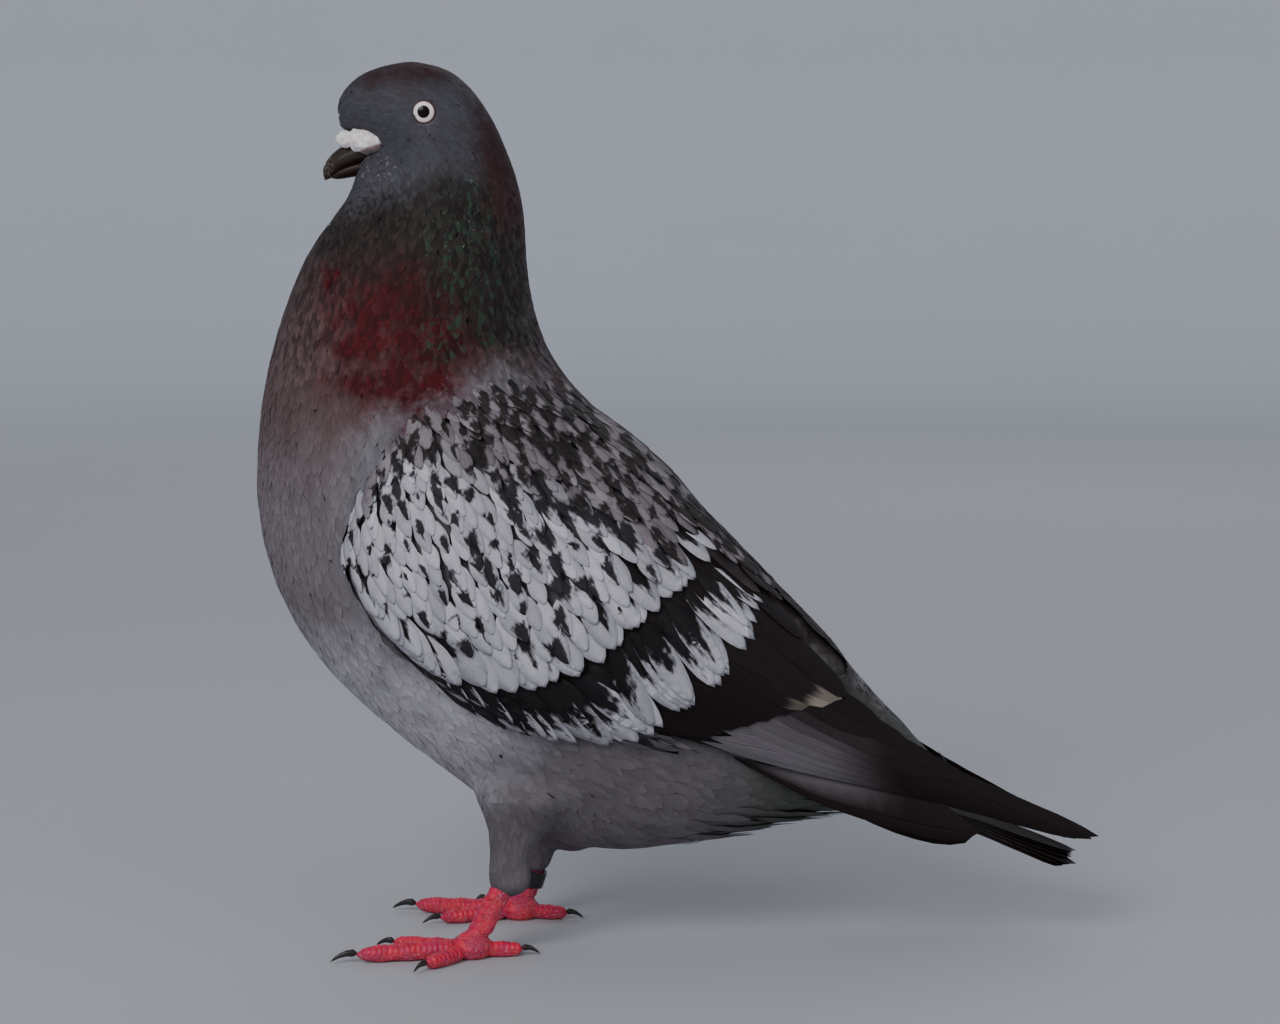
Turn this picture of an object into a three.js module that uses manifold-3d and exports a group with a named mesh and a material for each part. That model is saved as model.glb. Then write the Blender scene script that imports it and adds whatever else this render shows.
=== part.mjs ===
// A standing homing pigeon, life size, as a still museum model.
//
// Units are millimetres. +Z is up, the bird faces -X, and its left side faces -Y.
// Points below are [x, z] in the bird's upright middle plane or [x, y, z] on its right side, and the left
// side is the mirror image. The exported group is shifted so that its origin is the middle of the
// bird's base.
//
// The solids have the outline of the plumage. Body, neck and head are one sweep, parted by thin cuts.
// A wing is a curved plate laid against the trunk, and a foot is four jointed toes round one pad.

import * as THREE from "three";
import { mergeVertices } from "three/addons/utils/BufferGeometryUtils.js";
import Module from "manifold-3d";

const wasm = await Module();
wasm.setup();

// ---------------------------------------------------------------- driving dimensions
const GAP = 0.3; // clear space left where one solid meets another
const BODY_SIDES = 24; // faces round the body
const BODY_ROWS = 38; // and along it
const WING_SIDES = 14;
const WING_ROWS = 19;
const WING_THINNEST = 0.7; // an edge of the wing plate
const TAIL_SIDES = 12;
const TAIL_ROWS = 6;
const FAR = 600; // larger than the bird, for cutting slabs

const EYE = { place: [-58.9, 9.2, 233.4], radius: 4.9 };
const ORBIT = { radius: 9, floor: 11.7 }; // the shallow dish round the eye, down to that half width
const LEFT = { name: "left", side: -1 };
const RIGHT = { name: "right", side: 1 };

// Stations of the body from the crown to the tail root. front is the point on the face, breast or belly
// line, back the point on the nape, back or rump line, half the half width, and taper how much of its
// width the section loses towards the front.
const BODY = [
  { front: [-63.5, 248], back: [-63.5, 248], half: 0, taper: 0 }, // crown
  { front: [-75, 245.4], back: [-53.5, 245.8], half: 8, taper: 0.15 },
  { front: [-81.9, 240.5], back: [-47.2, 240.9], half: 11.7, taper: 0.3 }, // forehead
  { front: [-84.2, 235.3], back: [-43.2, 235.8], half: 13.2, taper: 0.42 }, // eyes
  { front: [-83.8, 230.2], back: [-40.1, 230.5], half: 14, taper: 0.55 },
  { front: [-80.4, 224.3], back: [-37.5, 224.5], half: 14.6, taper: 0.64 }, // bill
  { front: [-79.6, 218], back: [-35.1, 218.5], half: 15.4, taper: 0.56 }, // chin
  { front: [-80.6, 211.5], back: [-33.3, 212], half: 16.6, taper: 0.3 }, // throat
  { front: [-85.7, 204.5], back: [-32.1, 205], half: 19.2, taper: 0.1 },
  { front: [-92.7, 194.5], back: [-31.7, 194.5], half: 22.8, taper: 0 },
  { front: [-99.3, 179], back: [-29.8, 180.5], half: 26.5, taper: 0 }, // middle of the neck
  { front: [-104.3, 161.5], back: [-25, 167], half: 31.8, taper: 0 },
  { front: [-107, 143], back: [-14.4, 153.4], half: 37.8, taper: 0 }, // shoulders
  { front: [-107.2, 122], back: [-1.2, 143.9], half: 42, taper: 0.04 },
  { front: [-101.8, 100.5], back: [12, 131.4], half: 43.2, taper: 0.04 }, // breast
  { front: [-90.2, 80.7], back: [24, 116], half: 42, taper: 0.04 },
  { front: [-73.2, 63.8], back: [37.4, 103.4], half: 38.6, taper: 0.02 },
  { front: [-51, 46], back: [49.8, 91], half: 33.2, taper: 0 }, // belly
  { front: [-25.5, 29], back: [60.4, 78.6], half: 27.2, taper: 0 },
  { front: [2, 26.8], back: [69, 68.8], half: 21.5, taper: 0 }, // vent
  { front: [29, 33.2], back: [77, 60], half: 16, taper: 0 },
  { front: [48, 38], back: [84, 52], half: 11.5, taper: 0 }, // tail coverts
  { front: [64, 41], back: [88, 47.5], half: 7, taper: 0 },
  { front: [81, 42.5], back: [81, 42.5], half: 0, taper: 0 },
];
const BODY_FULLNESS = 0.92; // under 1 the sections are fuller than an ellipse
const HEAD_CUT = { at: [-56, 214], rise: 19 }; // degrees, up towards the nape
const NECK_CUT = { at: [-60, 156.5], rise: 9 };

// Stations of the folded wing from the wrist to the tip. upper and lower are its edges, bulge is how far
// the plate bows out between them, thick its thickness.
const WING = [
  { upper: [-80.5, 37.5, 118], lower: [-80.5, 37.5, 118], bulge: 0, thick: 0.6 }, // wrist
  { upper: [-72, 37.5, 141], lower: [-77, 38.5, 101], bulge: 5.5, thick: 7 },
  { upper: [-56, 34, 155], lower: [-68, 38.5, 88.5], bulge: 11, thick: 9 },
  { upper: [-36, 26, 160], lower: [-53, 38.5, 78], bulge: 15, thick: 10 }, // shoulder
  { upper: [-17, 15, 153], lower: [-37, 37.5, 68.5], bulge: 18.5, thick: 10 },
  { upper: [0, 10, 140.5], lower: [-18, 36, 63.5], bulge: 20.5, thick: 10 },
  { upper: [17, 7.5, 123.8], lower: [3, 33.2, 61.5], bulge: 20, thick: 9 },
  { upper: [36, 7, 104.6], lower: [27, 29.5, 54], bulge: 17.5, thick: 8 }, // tertials
  { upper: [54.5, 7.5, 86.9], lower: [45, 26.3, 48.8], bulge: 13, thick: 6 },
  { upper: [68.5, 10.5, 72.4], lower: [62, 23, 44.4], bulge: 8.5, thick: 4.4 },
  { upper: [84, 12, 59.8], lower: [80, 19.5, 40.6], bulge: 5, thick: 3.4 }, // primaries
  { upper: [101, 11, 48], lower: [98, 15.5, 37], bulge: 3, thick: 2.6 },
  { upper: [117.5, 9, 38.8], lower: [114, 12, 32.2], bulge: 1.5, thick: 1.8 },
  { upper: [130.8, 7.6, 30.6], lower: [130.8, 7.6, 30.6], bulge: 0, thick: 0.6 }, // tip
];
const WING_BOW = 0.64; // under 1 the plate bows out evenly from edge to edge
const WING_DROOP = { left: 0, right: 3 }; // how far the back of the wing sinks
const COVERT_CUT = { through: [18, 83], rise: 53 }; // behind the wing coverts
const SECONDARY_CUT = { through: [42, 68], rise: 33 }; // behind the secondaries

// The outermost primary, which hangs free below the others and is shorter.
const OUTER_PRIMARY = {
  left: { root: [49, 24.8, 46.2], middle: [72, 21.6, 38.4], tip: [94, 17.8, 34.4] },
  right: { root: [44, 24.4, 43.5], middle: [78, 21.6, 23.5], tip: [98, 18.8, 26] },
  depth: 7.5,
  thick: 0.9,
};

// The closed tail: an arch of feathers from the root, under the coverts, to the tip.
const TAIL = {
  root: [14, 60.5],
  tip: [125, 27.4],
  halfRoot: 8,
  halfTip: 17.5,
  sagRoot: 2,
  sagTip: 4.8, // how far the outer feathers lie below the middle ones
  thickRoot: 4,
  thickTip: 1.3,
};

const BILL = {
  upper: { base: [-72, 222.6], middle: [-82.8, 222.6], tip: [-87.7, 215.1], half: 3.4, deep: 4.1 },
  lower: { base: [-72, 219.3], middle: [-80.4, 218.3], tip: [-86.2, 215.5], half: 3, deep: 2.1 },
  flat: 0.55, // of a mandible's depth, on the side where the two meet
};
const CERE = { place: [-77, 3.6, 225.9], radii: [7.7, 3.4, 2.8], slope: 7, spread: 25 };

// A leg: hock is the top of the bare tarsus, inside the feathers, sole the middle of the foot on the
// floor, turn the outward swing of the foot in degrees, bare the length of tarsus that shows, and over how far
// behind the hock the middle of the thigh lies.
const LEGS = [
  { ...LEFT, hock: [-34.3, 19.5, 27], sole: [-46.8, 20.5], turn: 11, bare: 18.3, over: 4 },
  { ...RIGHT, hock: [-27.8, 21.5, 27], sole: [-35.4, 22.5], turn: 13, bare: 13.4, over: 7 },
];
const TARSUS = { fore: 3.3, side: 2.7, high: 9.5, spread: 0.35 }; // half sizes, and how the foot widens
const PAD = { radii: [5.6, 5.4, 4], lift: 3.1 };
// reach is the length with its claw, swing the angle out from the middle toe.
const TOES = [
  { name: "hallux", reach: 19.5, swing: 174, thick: 2.3, claw: 5 },
  { name: "middle", reach: 40, swing: 0, thick: 2.7, claw: 7.5 },
  { name: "inner", reach: 30, swing: -31, thick: 2.4, claw: 5.5 },
  { name: "outer", reach: 24, swing: 40, thick: 2.3, claw: 5 },
];
const TOE_CLEAR = 3.4; // where a toe starts, from the middle of the pad
// The feathered leg: its half size at the top, inside the belly, and at the bottom, and how far its top
// stands over the hock.
const THIGH = { rise: 24, top: 21, bottom: 5.1, flare: 2.3 };
const RING = { inner: 3.8, outer: 4.6, height: 5, up: 10.3 };

// ---------------------------------------------------------------- tools
const degrees = THREE.MathUtils.degToRad;
const signedPower = (v, power) => Math.sign(v) * Math.abs(v) ** power;

// A smooth curve through the values that pick takes from the stations, by share of the way along.
function through(stations, pick) {
  const points = stations.map((s) => new THREE.Vector3(...pick(s)));
  const curve = new THREE.CatmullRomCurve3(points, false, "catmullrom", 0.5);
  return (share) => curve.getPoint(Math.min(1, Math.max(0, share)));
}

// A closed skin: a sphere whose every point goes where place(round, along) says.
function wrapped(sides, rows, place) {
  const shape = new THREE.SphereGeometry(1, sides, rows);
  const position = shape.getAttribute("position");
  for (let i = 0; i < position.count; i++) {
    const column = i % (sides + 1);
    const row = Math.floor(i / (sides + 1));
    const p = place((2 * Math.PI * (column % sides)) / sides, row / rows);
    position.setXYZ(i, p.x, p.y, p.z);
  }
  return shape;
}

// A three.js geometry as a solid whose faces point out.
function solid(geometry) {
  const bare = geometry.clone();
  for (const extra of ["normal", "uv"]) bare.deleteAttribute(extra);
  const merged = mergeVertices(bare, 1e-4);
  const corners = Uint32Array.from(merged.index.array);
  const spots = Float32Array.from(merged.attributes.position.array);
  const faces = [];
  for (let i = 0; i < corners.length; i += 3) {
    const [a, b, c] = corners.subarray(i, i + 3);
    if (a !== b && b !== c && a !== c) faces.push(a, b, c);
  }
  const build = (triVerts) =>
    new wasm.Manifold(new wasm.Mesh({ numProp: 3, vertProperties: spots, triVerts }));
  const made = build(Uint32Array.from(faces));
  if (made.volume() > 0) return made;
  for (let i = 0; i < faces.length; i += 3) [faces[i + 1], faces[i + 2]] = [faces[i + 2], faces[i + 1]];
  return build(Uint32Array.from(faces));
}

function geometryOf(made) {
  const mesh = made.getMesh();
  const spots = new Float32Array(mesh.numVert * 3);
  for (let i = 0; i < mesh.numVert; i++) {
    spots.set(mesh.vertProperties.subarray(i * mesh.numProp, i * mesh.numProp + 3), i * 3);
  }
  return new THREE.BufferGeometry()
    .setAttribute("position", new THREE.BufferAttribute(spots, 3))
    .setIndex(new THREE.BufferAttribute(Uint32Array.from(mesh.triVerts), 1));
}

// The pieces of a solid, the largest first, without crumbs.
function pieces(made) {
  const crumb = 1; // mm3
  return made
    .decompose()
    .filter((p) => p.volume() > crumb)
    .sort((a, b) => b.volume() - a.volume());
}

const largest = (made) => pieces(made)[0];

// Everything on one side of a plane through [x, z] that rises towards +X by the given angle: above it, or
// below it if above is false.
function halfSpace([x, z], rise, above) {
  const block = new THREE.BoxGeometry(FAR, FAR, FAR);
  block.translate(0, 0, ((above ? 1 : -1) * FAR) / 2 + (above ? 1 : -1) * (GAP / 2));
  block.rotateY(-degrees(rise));
  block.translate(x, 0, z);
  return solid(block);
}

const mirrored = ([x, y, z], side) => [x, y * side, z];

// ---------------------------------------------------------------- body, neck and head
// The whole body. grow swells it by that much, to cut its neighbours with.
function bodySolid(grow = 0) {
  const front = through(BODY, (s) => [s.front[0], 0, s.front[1]]);
  const back = through(BODY, (s) => [s.back[0], 0, s.back[1]]);
  const widths = through(BODY, (s) => [s.half, s.taper, 0]);
  return solid(
    wrapped(BODY_SIDES, BODY_ROWS, (round, along) => {
      const from = front(along);
      const to = back(along);
      const reach = to.clone().sub(from).multiplyScalar(0.5);
      const middle = from.clone().add(reach);
      const width = widths(along);
      const swell = along > 0 && along < 1 ? grow : 0;
      if (swell) reach.setLength(reach.length() + swell);
      const across = signedPower(Math.cos(round), BODY_FULLNESS);
      const aside = signedPower(Math.sin(round), BODY_FULLNESS);
      const half = Math.max(0, width.x) + swell;
      return middle
        .addScaledVector(reach, across)
        .setY(half * aside * (1 + width.y * Math.min(0, Math.cos(round))));
    }),
  );
}

// ---------------------------------------------------------------- wings
function wingPlate(side) {
  const sink = side === LEFT.side ? WING_DROOP.left : WING_DROOP.right;
  const sunk = ([x, y, z]) => [x, y * side, z - sink * THREE.MathUtils.smoothstep(x, 25, 95)];
  const upper = through(WING, (s) => sunk(s.upper));
  const lower = through(WING, (s) => sunk(s.lower));
  const build = through(WING, (s) => [s.bulge, s.thick, 0]);
  return solid(
    wrapped(WING_SIDES, WING_ROWS, (round, along) => {
      const top = upper(along);
      const bottom = lower(along);
      const { x: bulge, y: thick } = build(along);
      const share = (1 - Math.cos(round)) / 2;
      const chord = bottom.clone().sub(top);
      const flat = Math.max(1e-6, Math.hypot(chord.y, chord.z));
      const out = new THREE.Vector3(0, -side * chord.z, side * chord.y).divideScalar(flat);
      if (chord.length() < 1e-6) out.set(0, side, 0);
      const bow = bulge * Math.max(0, Math.sin(Math.PI * share)) ** WING_BOW;
      const half = along === 0 || along === 1 ? 0 : Math.max(thick, WING_THINNEST) / 2;
      return top.addScaledVector(chord, share).addScaledVector(out, bow + half * Math.sin(round));
    }),
  );
}

// The shape of one feather blade along a bent line, standing on edge.
function blade(line, side, depth, thick) {
  const curve = new THREE.QuadraticBezierCurve3(...line.map((p) => new THREE.Vector3(...mirrored(p, side))));
  return solid(
    wrapped(8, 8, (round, along) => {
      const middle = curve.getPoint(along);
      const size = Math.sin(Math.PI * Math.min(0.5, along * 0.5 + 0.14)) * (1 - along ** 6) ** 0.5;
      const half = along === 0 || along === 1 ? 0 : (depth / 2) * size;
      const slim = along === 0 || along === 1 ? 0 : thick / 2;
      return middle.add(new THREE.Vector3(0, slim * Math.sin(round), half * Math.cos(round)));
    }),
  );
}

// ---------------------------------------------------------------- tail
function tailSolid(grow = 0) {
  const line = (share) => new THREE.Vector3(
    THREE.MathUtils.lerp(TAIL.root[0], TAIL.tip[0], share),
    0,
    THREE.MathUtils.lerp(TAIL.root[1], TAIL.tip[1], share),
  );
  const fan = new THREE.BoxGeometry(1, 1, 1, TAIL_ROWS, TAIL_SIDES, 1);
  const position = fan.getAttribute("position");
  for (let i = 0; i < position.count; i++) {
    const along = position.getX(i) + 0.5;
    const aside = position.getY(i) * 2;
    const half = THREE.MathUtils.lerp(TAIL.halfRoot, TAIL.halfTip, along) + grow;
    const sag = THREE.MathUtils.lerp(TAIL.sagRoot, TAIL.sagTip, along);
    const thick = THREE.MathUtils.lerp(TAIL.thickRoot, TAIL.thickTip, along ** 0.6) + 2 * grow;
    const rounding = 3.5 * aside ** 4 * along; // the outer feathers end a little earlier
    const p = line(along);
    const thin = 1 - 0.55 * Math.abs(aside) ** 3;
    position.setXYZ(
      i,
      p.x - rounding + grow * Math.sign(along - 0.5),
      half * aside,
      p.z + rounding * 0.3 - sag * aside * aside + position.getZ(i) * thick * thin,
    );
  }
  return solid(fan);
}

// ---------------------------------------------------------------- head details
function eyeSolid(side, grow = 0) {
  const ball = new THREE.SphereGeometry(EYE.radius + grow, 12, 7);
  ball.rotateX(Math.PI / 2);
  ball.translate(...mirrored(EYE.place, side));
  return solid(ball);
}

// What is cut out of the side of the head round the eye.
function orbitSolid(side) {
  const ball = new THREE.SphereGeometry(ORBIT.radius, 12, 9);
  const [x, , z] = EYE.place;
  ball.translate(x, side * (ORBIT.floor + ORBIT.radius), z);
  return solid(ball);
}

// One mandible: a cone bent down to its tip.
function mandible({ base, middle, tip, half, deep }, flatSide, grow = 0) {
  const curve = new THREE.QuadraticBezierCurve3(
    ...[base, middle, tip].map(([x, z]) => new THREE.Vector3(x, 0, z)),
  );
  return solid(
    wrapped(10, 8, (round, along) => {
      const centre = curve.getPoint(along);
      const slope = curve.getTangent(Math.min(along, 0.98));
      const up = new THREE.Vector3(slope.z, 0, -slope.x);
      const size = along === 0 || along === 1 ? 0 : Math.cos((Math.PI / 2) * along ** 1.7) ** 0.62;
      const rise = Math.cos(round);
      const flatten = rise * flatSide > 0 ? BILL.flat : 1;
      return centre
        .addScaledVector(up, size * (deep + grow) * rise * flatten)
        .add(new THREE.Vector3(0, size * (half + grow) * Math.sin(round), 0));
    }),
  );
}

function cereSolid(side, grow = 0) {
  const lump = new THREE.SphereGeometry(1, 10, 6);
  lump.scale(...CERE.radii.map((r) => r + grow));
  lump.rotateY(degrees(CERE.slope));
  lump.rotateZ(side * degrees(CERE.spread));
  lump.translate(...mirrored(CERE.place, side));
  return solid(lump);
}

// ---------------------------------------------------------------- legs and feet
function ankle({ hock, sole, side }) {
  return {
    top: new THREE.Vector3(...mirrored(hock, side)),
    foot: new THREE.Vector3(sole[0], sole[1] * side, PAD.lift),
  };
}

// The bare lower leg, which widens into the pad of the foot. It stands flat on the floor.
function tarsusSolid(leg, grow = 0) {
  const { top, foot } = ankle(leg);
  const shaft = solid(
    wrapped(10, 6, (round, along) => {
      const p = top.clone().lerp(foot, along);
      const nearFoot = Math.max(0, 1 - (p.z - PAD.lift) / TARSUS.high);
      const end = along === 0 || along === 1 ? 0 : 1;
      const wide = 1 + TARSUS.spread * nearFoot ** 2;
      return p.add(
        new THREE.Vector3(
          end * (TARSUS.fore * wide + grow) * Math.cos(round),
          end * (TARSUS.side * wide + grow) * Math.sin(round),
          0,
        ),
      );
    }),
  );
  const lump = new THREE.SphereGeometry(1, 12, 6);
  lump.rotateX(Math.PI / 2);
  lump.scale(...PAD.radii.map((r) => r + grow));
  lump.translate(foot.x, foot.y, foot.z);
  return shaft.add(solid(lump)).intersect(halfSpace([0, -GAP / 2], 0, true));
}

// A toe from the pad to its claw, or the claw alone.
function toeParts(leg, toe, grow = 0) {
  const { foot } = ankle(leg);
  const heading = Math.PI - leg.side * degrees(leg.turn + toe.swing);
  const ahead = new THREE.Vector3(Math.cos(heading), Math.sin(heading), 0);
  const aside = new THREE.Vector3(-ahead.y, ahead.x, 0);
  const fleshEnd = toe.reach - toe.claw;
  const start = foot.clone().addScaledVector(ahead, TOE_CLEAR).setZ(toe.thick * 0.95);
  const length = fleshEnd - TOE_CLEAR;
  const bones = Math.round(fleshEnd / 8);
  const flesh = wrapped(8, 3 * bones, (round, along) => {
    const end = along === 0 || along === 1 ? 0 : 1;
    const joint = 1 + 0.09 * Math.cos(2 * Math.PI * bones * along);
    const tip = Math.min(1, (1 - along) * 7) ** 0.4;
    const size = end * (toe.thick * (1.05 - 0.25 * along) * joint * tip + grow);
    const p = start.clone().addScaledVector(ahead, length * along);
    p.addScaledVector(aside, size * Math.sin(round));
    p.z = Math.max(0, p.z * (1 - 0.12 * along) + size * 0.95 * Math.cos(round));
    return p;
  });
  const root = start.clone().addScaledVector(ahead, length - 1.2).setZ(toe.thick * 0.95);
  const claw = wrapped(6, 5, (round, along) => {
    const size = along === 0 || along === 1 ? 0 : toe.thick * 0.5 * (1 - along * 0.8);
    const bend = toe.thick * 0.25 * Math.sin(Math.PI * along) - toe.thick * 0.85 * along ** 2;
    const p = root.clone().addScaledVector(ahead, (toe.claw + 1.2) * along);
    p.addScaledVector(aside, size * 0.8 * Math.sin(round));
    p.z = Math.max(0.05, p.z + bend + size * Math.cos(round));
    return p;
  });
  return { flesh: solid(flesh), claw: solid(claw) };
}

// The feathered leg, from inside the belly down to where the tarsus shows.
function thighSolid(leg) {
  const { top, foot } = ankle(leg);
  const down = top.clone().sub(foot).normalize();
  const low = foot.clone().addScaledVector(down, leg.bare);
  const high = new THREE.Vector3(top.x + leg.over, top.y * 0.9, top.z + THIGH.rise);
  return solid(
    wrapped(12, 7, (round, along) => {
      const end = along === 0 || along === 1 ? 0 : 1;
      const size = THIGH.bottom + (THIGH.top - THIGH.bottom) * (1 - along) ** THIGH.flare;
      const p = high.clone().lerp(low, along);
      return p.add(
        new THREE.Vector3(end * size * Math.cos(round), end * size * 0.8 * Math.sin(round), 0),
      );
    }),
  );
}

function ringSolid(leg) {
  const { top, foot } = ankle(leg);
  const axis = top.clone().sub(foot).normalize();
  const half = RING.height / 2;
  const profile = [
    [RING.inner, -half],
    [RING.outer, -half],
    [RING.outer, half],
    [RING.inner, half],
    [RING.inner, -half],
  ].map(([r, h]) => new THREE.Vector2(r, h));
  const band = new THREE.LatheGeometry(profile, 20);
  band.applyQuaternion(new THREE.Quaternion().setFromUnitVectors(new THREE.Vector3(0, 1, 0), axis));
  const middle = foot.clone().addScaledVector(axis, RING.up);
  band.translate(middle.x, middle.y, middle.z);
  return solid(band);
}

// ---------------------------------------------------------------- finishes
const finish = (color, roughness) => new THREE.MeshStandardMaterial({ color, roughness, metalness: 0 });
const HEAD_PLUMAGE = finish(0x35383e, 0.75);
const NECK_PLUMAGE = finish(0x35302f, 0.55);
const BODY_PLUMAGE = finish(0x77757c, 0.85);
const CHEQUER_PLUMAGE = finish(0x8a8a90, 0.8);
const DARK_VANES = finish(0x2b2627, 0.6);
const TAIL_VANES = finish(0x474a52, 0.65);
const IRIS = finish(0xe6dcd6, 0.15);
const BILL_HORN = finish(0x241f1b, 0.4);
const CERE_SKIN = finish(0xd8d0d2, 0.8);
const RED_SKIN = finish(0xb8323e, 0.55);
const CLAW_HORN = finish(0x2c2527, 0.4);
const BLACK_PLASTIC = finish(0x15151b, 0.35);

// ---------------------------------------------------------------- assembly
const bird = new THREE.Group();

function addNode(name, made, material) {
  const mesh = new THREE.Mesh(geometryOf(made), material);
  mesh.name = name;
  bird.add(mesh);
}

const bothSides = [LEFT, RIGHT];
const tail = tailSolid();

// Body in three lengths, less what is set into the head and what the tail fills.
const fittings = [
  ...bothSides.flatMap(({ side }) => [eyeSolid(side, GAP), cereSolid(side, GAP), orbitSolid(side)]),
  mandible(BILL.upper, -1, GAP),
  mandible(BILL.lower, 1, GAP),
];
const body = bodySolid().subtract(tailSolid(GAP));
const aboveThroat = halfSpace(HEAD_CUT.at, HEAD_CUT.rise, true);
const belowThroat = halfSpace(HEAD_CUT.at, HEAD_CUT.rise, false);
const aboveBreast = halfSpace(NECK_CUT.at, NECK_CUT.rise, true);
const belowBreast = halfSpace(NECK_CUT.at, NECK_CUT.rise, false);
const head = fittings.reduce((made, fitting) => made.subtract(fitting), body.intersect(aboveThroat));
addNode("head", largest(head), HEAD_PLUMAGE);
addNode("neck", largest(body.intersect(belowThroat).intersect(aboveBreast)), NECK_PLUMAGE);
addNode("trunk", largest(body.intersect(belowBreast)), BODY_PLUMAGE);
addNode("tail", largest(tail.subtract(bodySolid(GAP))), TAIL_VANES);

// Bill, ceres and eyes. The lower mandible and the ceres give way to the upper mandible.
const upperBill = mandible(BILL.upper, -1);
addNode("bill_upper", upperBill, BILL_HORN);
addNode("bill_lower", largest(mandible(BILL.lower, 1).subtract(mandible(BILL.upper, -1, GAP))), BILL_HORN);
for (const { name, side } of bothSides) {
  const half = new THREE.BoxGeometry(FAR, FAR, FAR).translate(0, side * (FAR / 2 + GAP / 2), 0);
  const cere = cereSolid(side).subtract(mandible(BILL.upper, -1, GAP)).intersect(solid(half));
  addNode(`cere_${name}`, largest(cere), CERE_SKIN);
  addNode(`eye_${name}`, eyeSolid(side), IRIS);
}

// Wings, laid on the grown body and tail and parted behind the coverts and behind the secondaries.
const grownBody = bodySolid(GAP);
const grownTail = tailSolid(GAP);
for (const { name, side } of bothSides) {
  const plate = largest(wingPlate(side).subtract(grownBody).subtract(grownTail));
  const { through: covertLine, rise: covertRise } = COVERT_CUT;
  const { through: secondaryLine, rise: secondaryRise } = SECONDARY_CUT;
  const coverts = plate.intersect(halfSpace(covertLine, covertRise, true));
  const flights = plate.intersect(halfSpace(covertLine, covertRise, false));
  const secondaries = flights.intersect(halfSpace(secondaryLine, secondaryRise, true));
  const primaries = flights.intersect(halfSpace(secondaryLine, secondaryRise, false));
  addNode(`wing_coverts_${name}`, largest(coverts), CHEQUER_PLUMAGE);
  addNode(`secondaries_${name}`, largest(secondaries), DARK_VANES);
  addNode(`primaries_${name}`, largest(primaries), DARK_VANES);
  const { root, middle, tip } = OUTER_PRIMARY[name];
  const outer = blade([root, middle, tip], side, OUTER_PRIMARY.depth, OUTER_PRIMARY.thick)
    .subtract(grownBody)
    .subtract(grownTail)
    .subtract(wingPlate(side));
  addNode(`outer_primary_${name}`, largest(outer), DARK_VANES);
}

// Legs.
for (const leg of LEGS) {
  const tarsus = tarsusSolid(leg);
  const grownTarsus = tarsusSolid(leg, GAP);
  const thigh = thighSolid(leg).subtract(grownBody).subtract(grownTarsus);
  addNode(`thigh_${leg.name}`, largest(thigh), BODY_PLUMAGE);
  addNode(`tarsus_${leg.name}`, largest(tarsus.subtract(grownBody)), RED_SKIN);
  let taken = grownTarsus; // what the next toe has to keep clear of
  for (const toe of TOES) {
    const { flesh, claw } = toeParts(leg, toe);
    const grown = toeParts(leg, toe, GAP).flesh;
    addNode(`toe_${toe.name}_${leg.name}`, largest(flesh.subtract(taken)), RED_SKIN);
    addNode(`claw_${toe.name}_${leg.name}`, largest(claw.subtract(grown)), CLAW_HORN);
    taken = taken.add(grown);
  }
}
addNode("leg_ring", ringSolid(LEGS[1]), BLACK_PLASTIC);

// The origin is the middle of the base.
const reach = new THREE.Box3().setFromObject(bird);
const middle = reach.getCenter(new THREE.Vector3());
bird.position.set(-middle.x, -middle.y, -reach.min.z);

export default bird;
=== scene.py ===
"""Homing pigeon, standing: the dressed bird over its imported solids."""
import functools
import math

import bmesh
import bpy
import numpy as np
from bpy.props import FloatProperty, FloatVectorProperty, PointerProperty
from mathutils import Matrix, Vector, noise
from mathutils.bvhtree import BVHTree


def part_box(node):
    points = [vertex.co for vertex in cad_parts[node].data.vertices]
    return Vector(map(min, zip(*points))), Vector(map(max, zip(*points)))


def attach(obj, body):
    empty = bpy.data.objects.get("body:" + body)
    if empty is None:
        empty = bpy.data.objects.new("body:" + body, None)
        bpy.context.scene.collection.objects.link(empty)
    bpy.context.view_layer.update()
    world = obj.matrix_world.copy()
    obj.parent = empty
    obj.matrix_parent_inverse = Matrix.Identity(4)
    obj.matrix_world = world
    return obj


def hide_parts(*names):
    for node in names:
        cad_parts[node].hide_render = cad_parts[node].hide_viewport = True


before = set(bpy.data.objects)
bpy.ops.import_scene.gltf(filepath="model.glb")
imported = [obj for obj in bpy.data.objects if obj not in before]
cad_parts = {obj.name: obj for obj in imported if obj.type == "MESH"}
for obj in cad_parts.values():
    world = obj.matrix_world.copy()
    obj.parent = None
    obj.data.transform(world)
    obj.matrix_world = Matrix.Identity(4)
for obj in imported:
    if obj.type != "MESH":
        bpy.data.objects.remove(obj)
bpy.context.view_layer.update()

bl_info = {
    "name": "Homing pigeon",
    "version": (1, 0, 0),
    "blender": (4, 5, 0),
    "location": "3D View > Sidebar > Pigeon",
    "description": "Dresses the packed pigeon: skin, feathers, head, feet and studio",
    "category": "Object",
}

MM = 0.001
SIDES = {"left": -1, "right": 1}
BODY = ("head", "neck", "trunk", "thigh_left", "thigh_right")
COVERTS = ("wing_coverts_left", "wing_coverts_right")
FLESH = BODY + COVERTS
WING_NODES = ("wing_coverts", "secondaries", "primaries", "outer_primary")
TOES = ("hallux", "inner", "middle", "outer")

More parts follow.
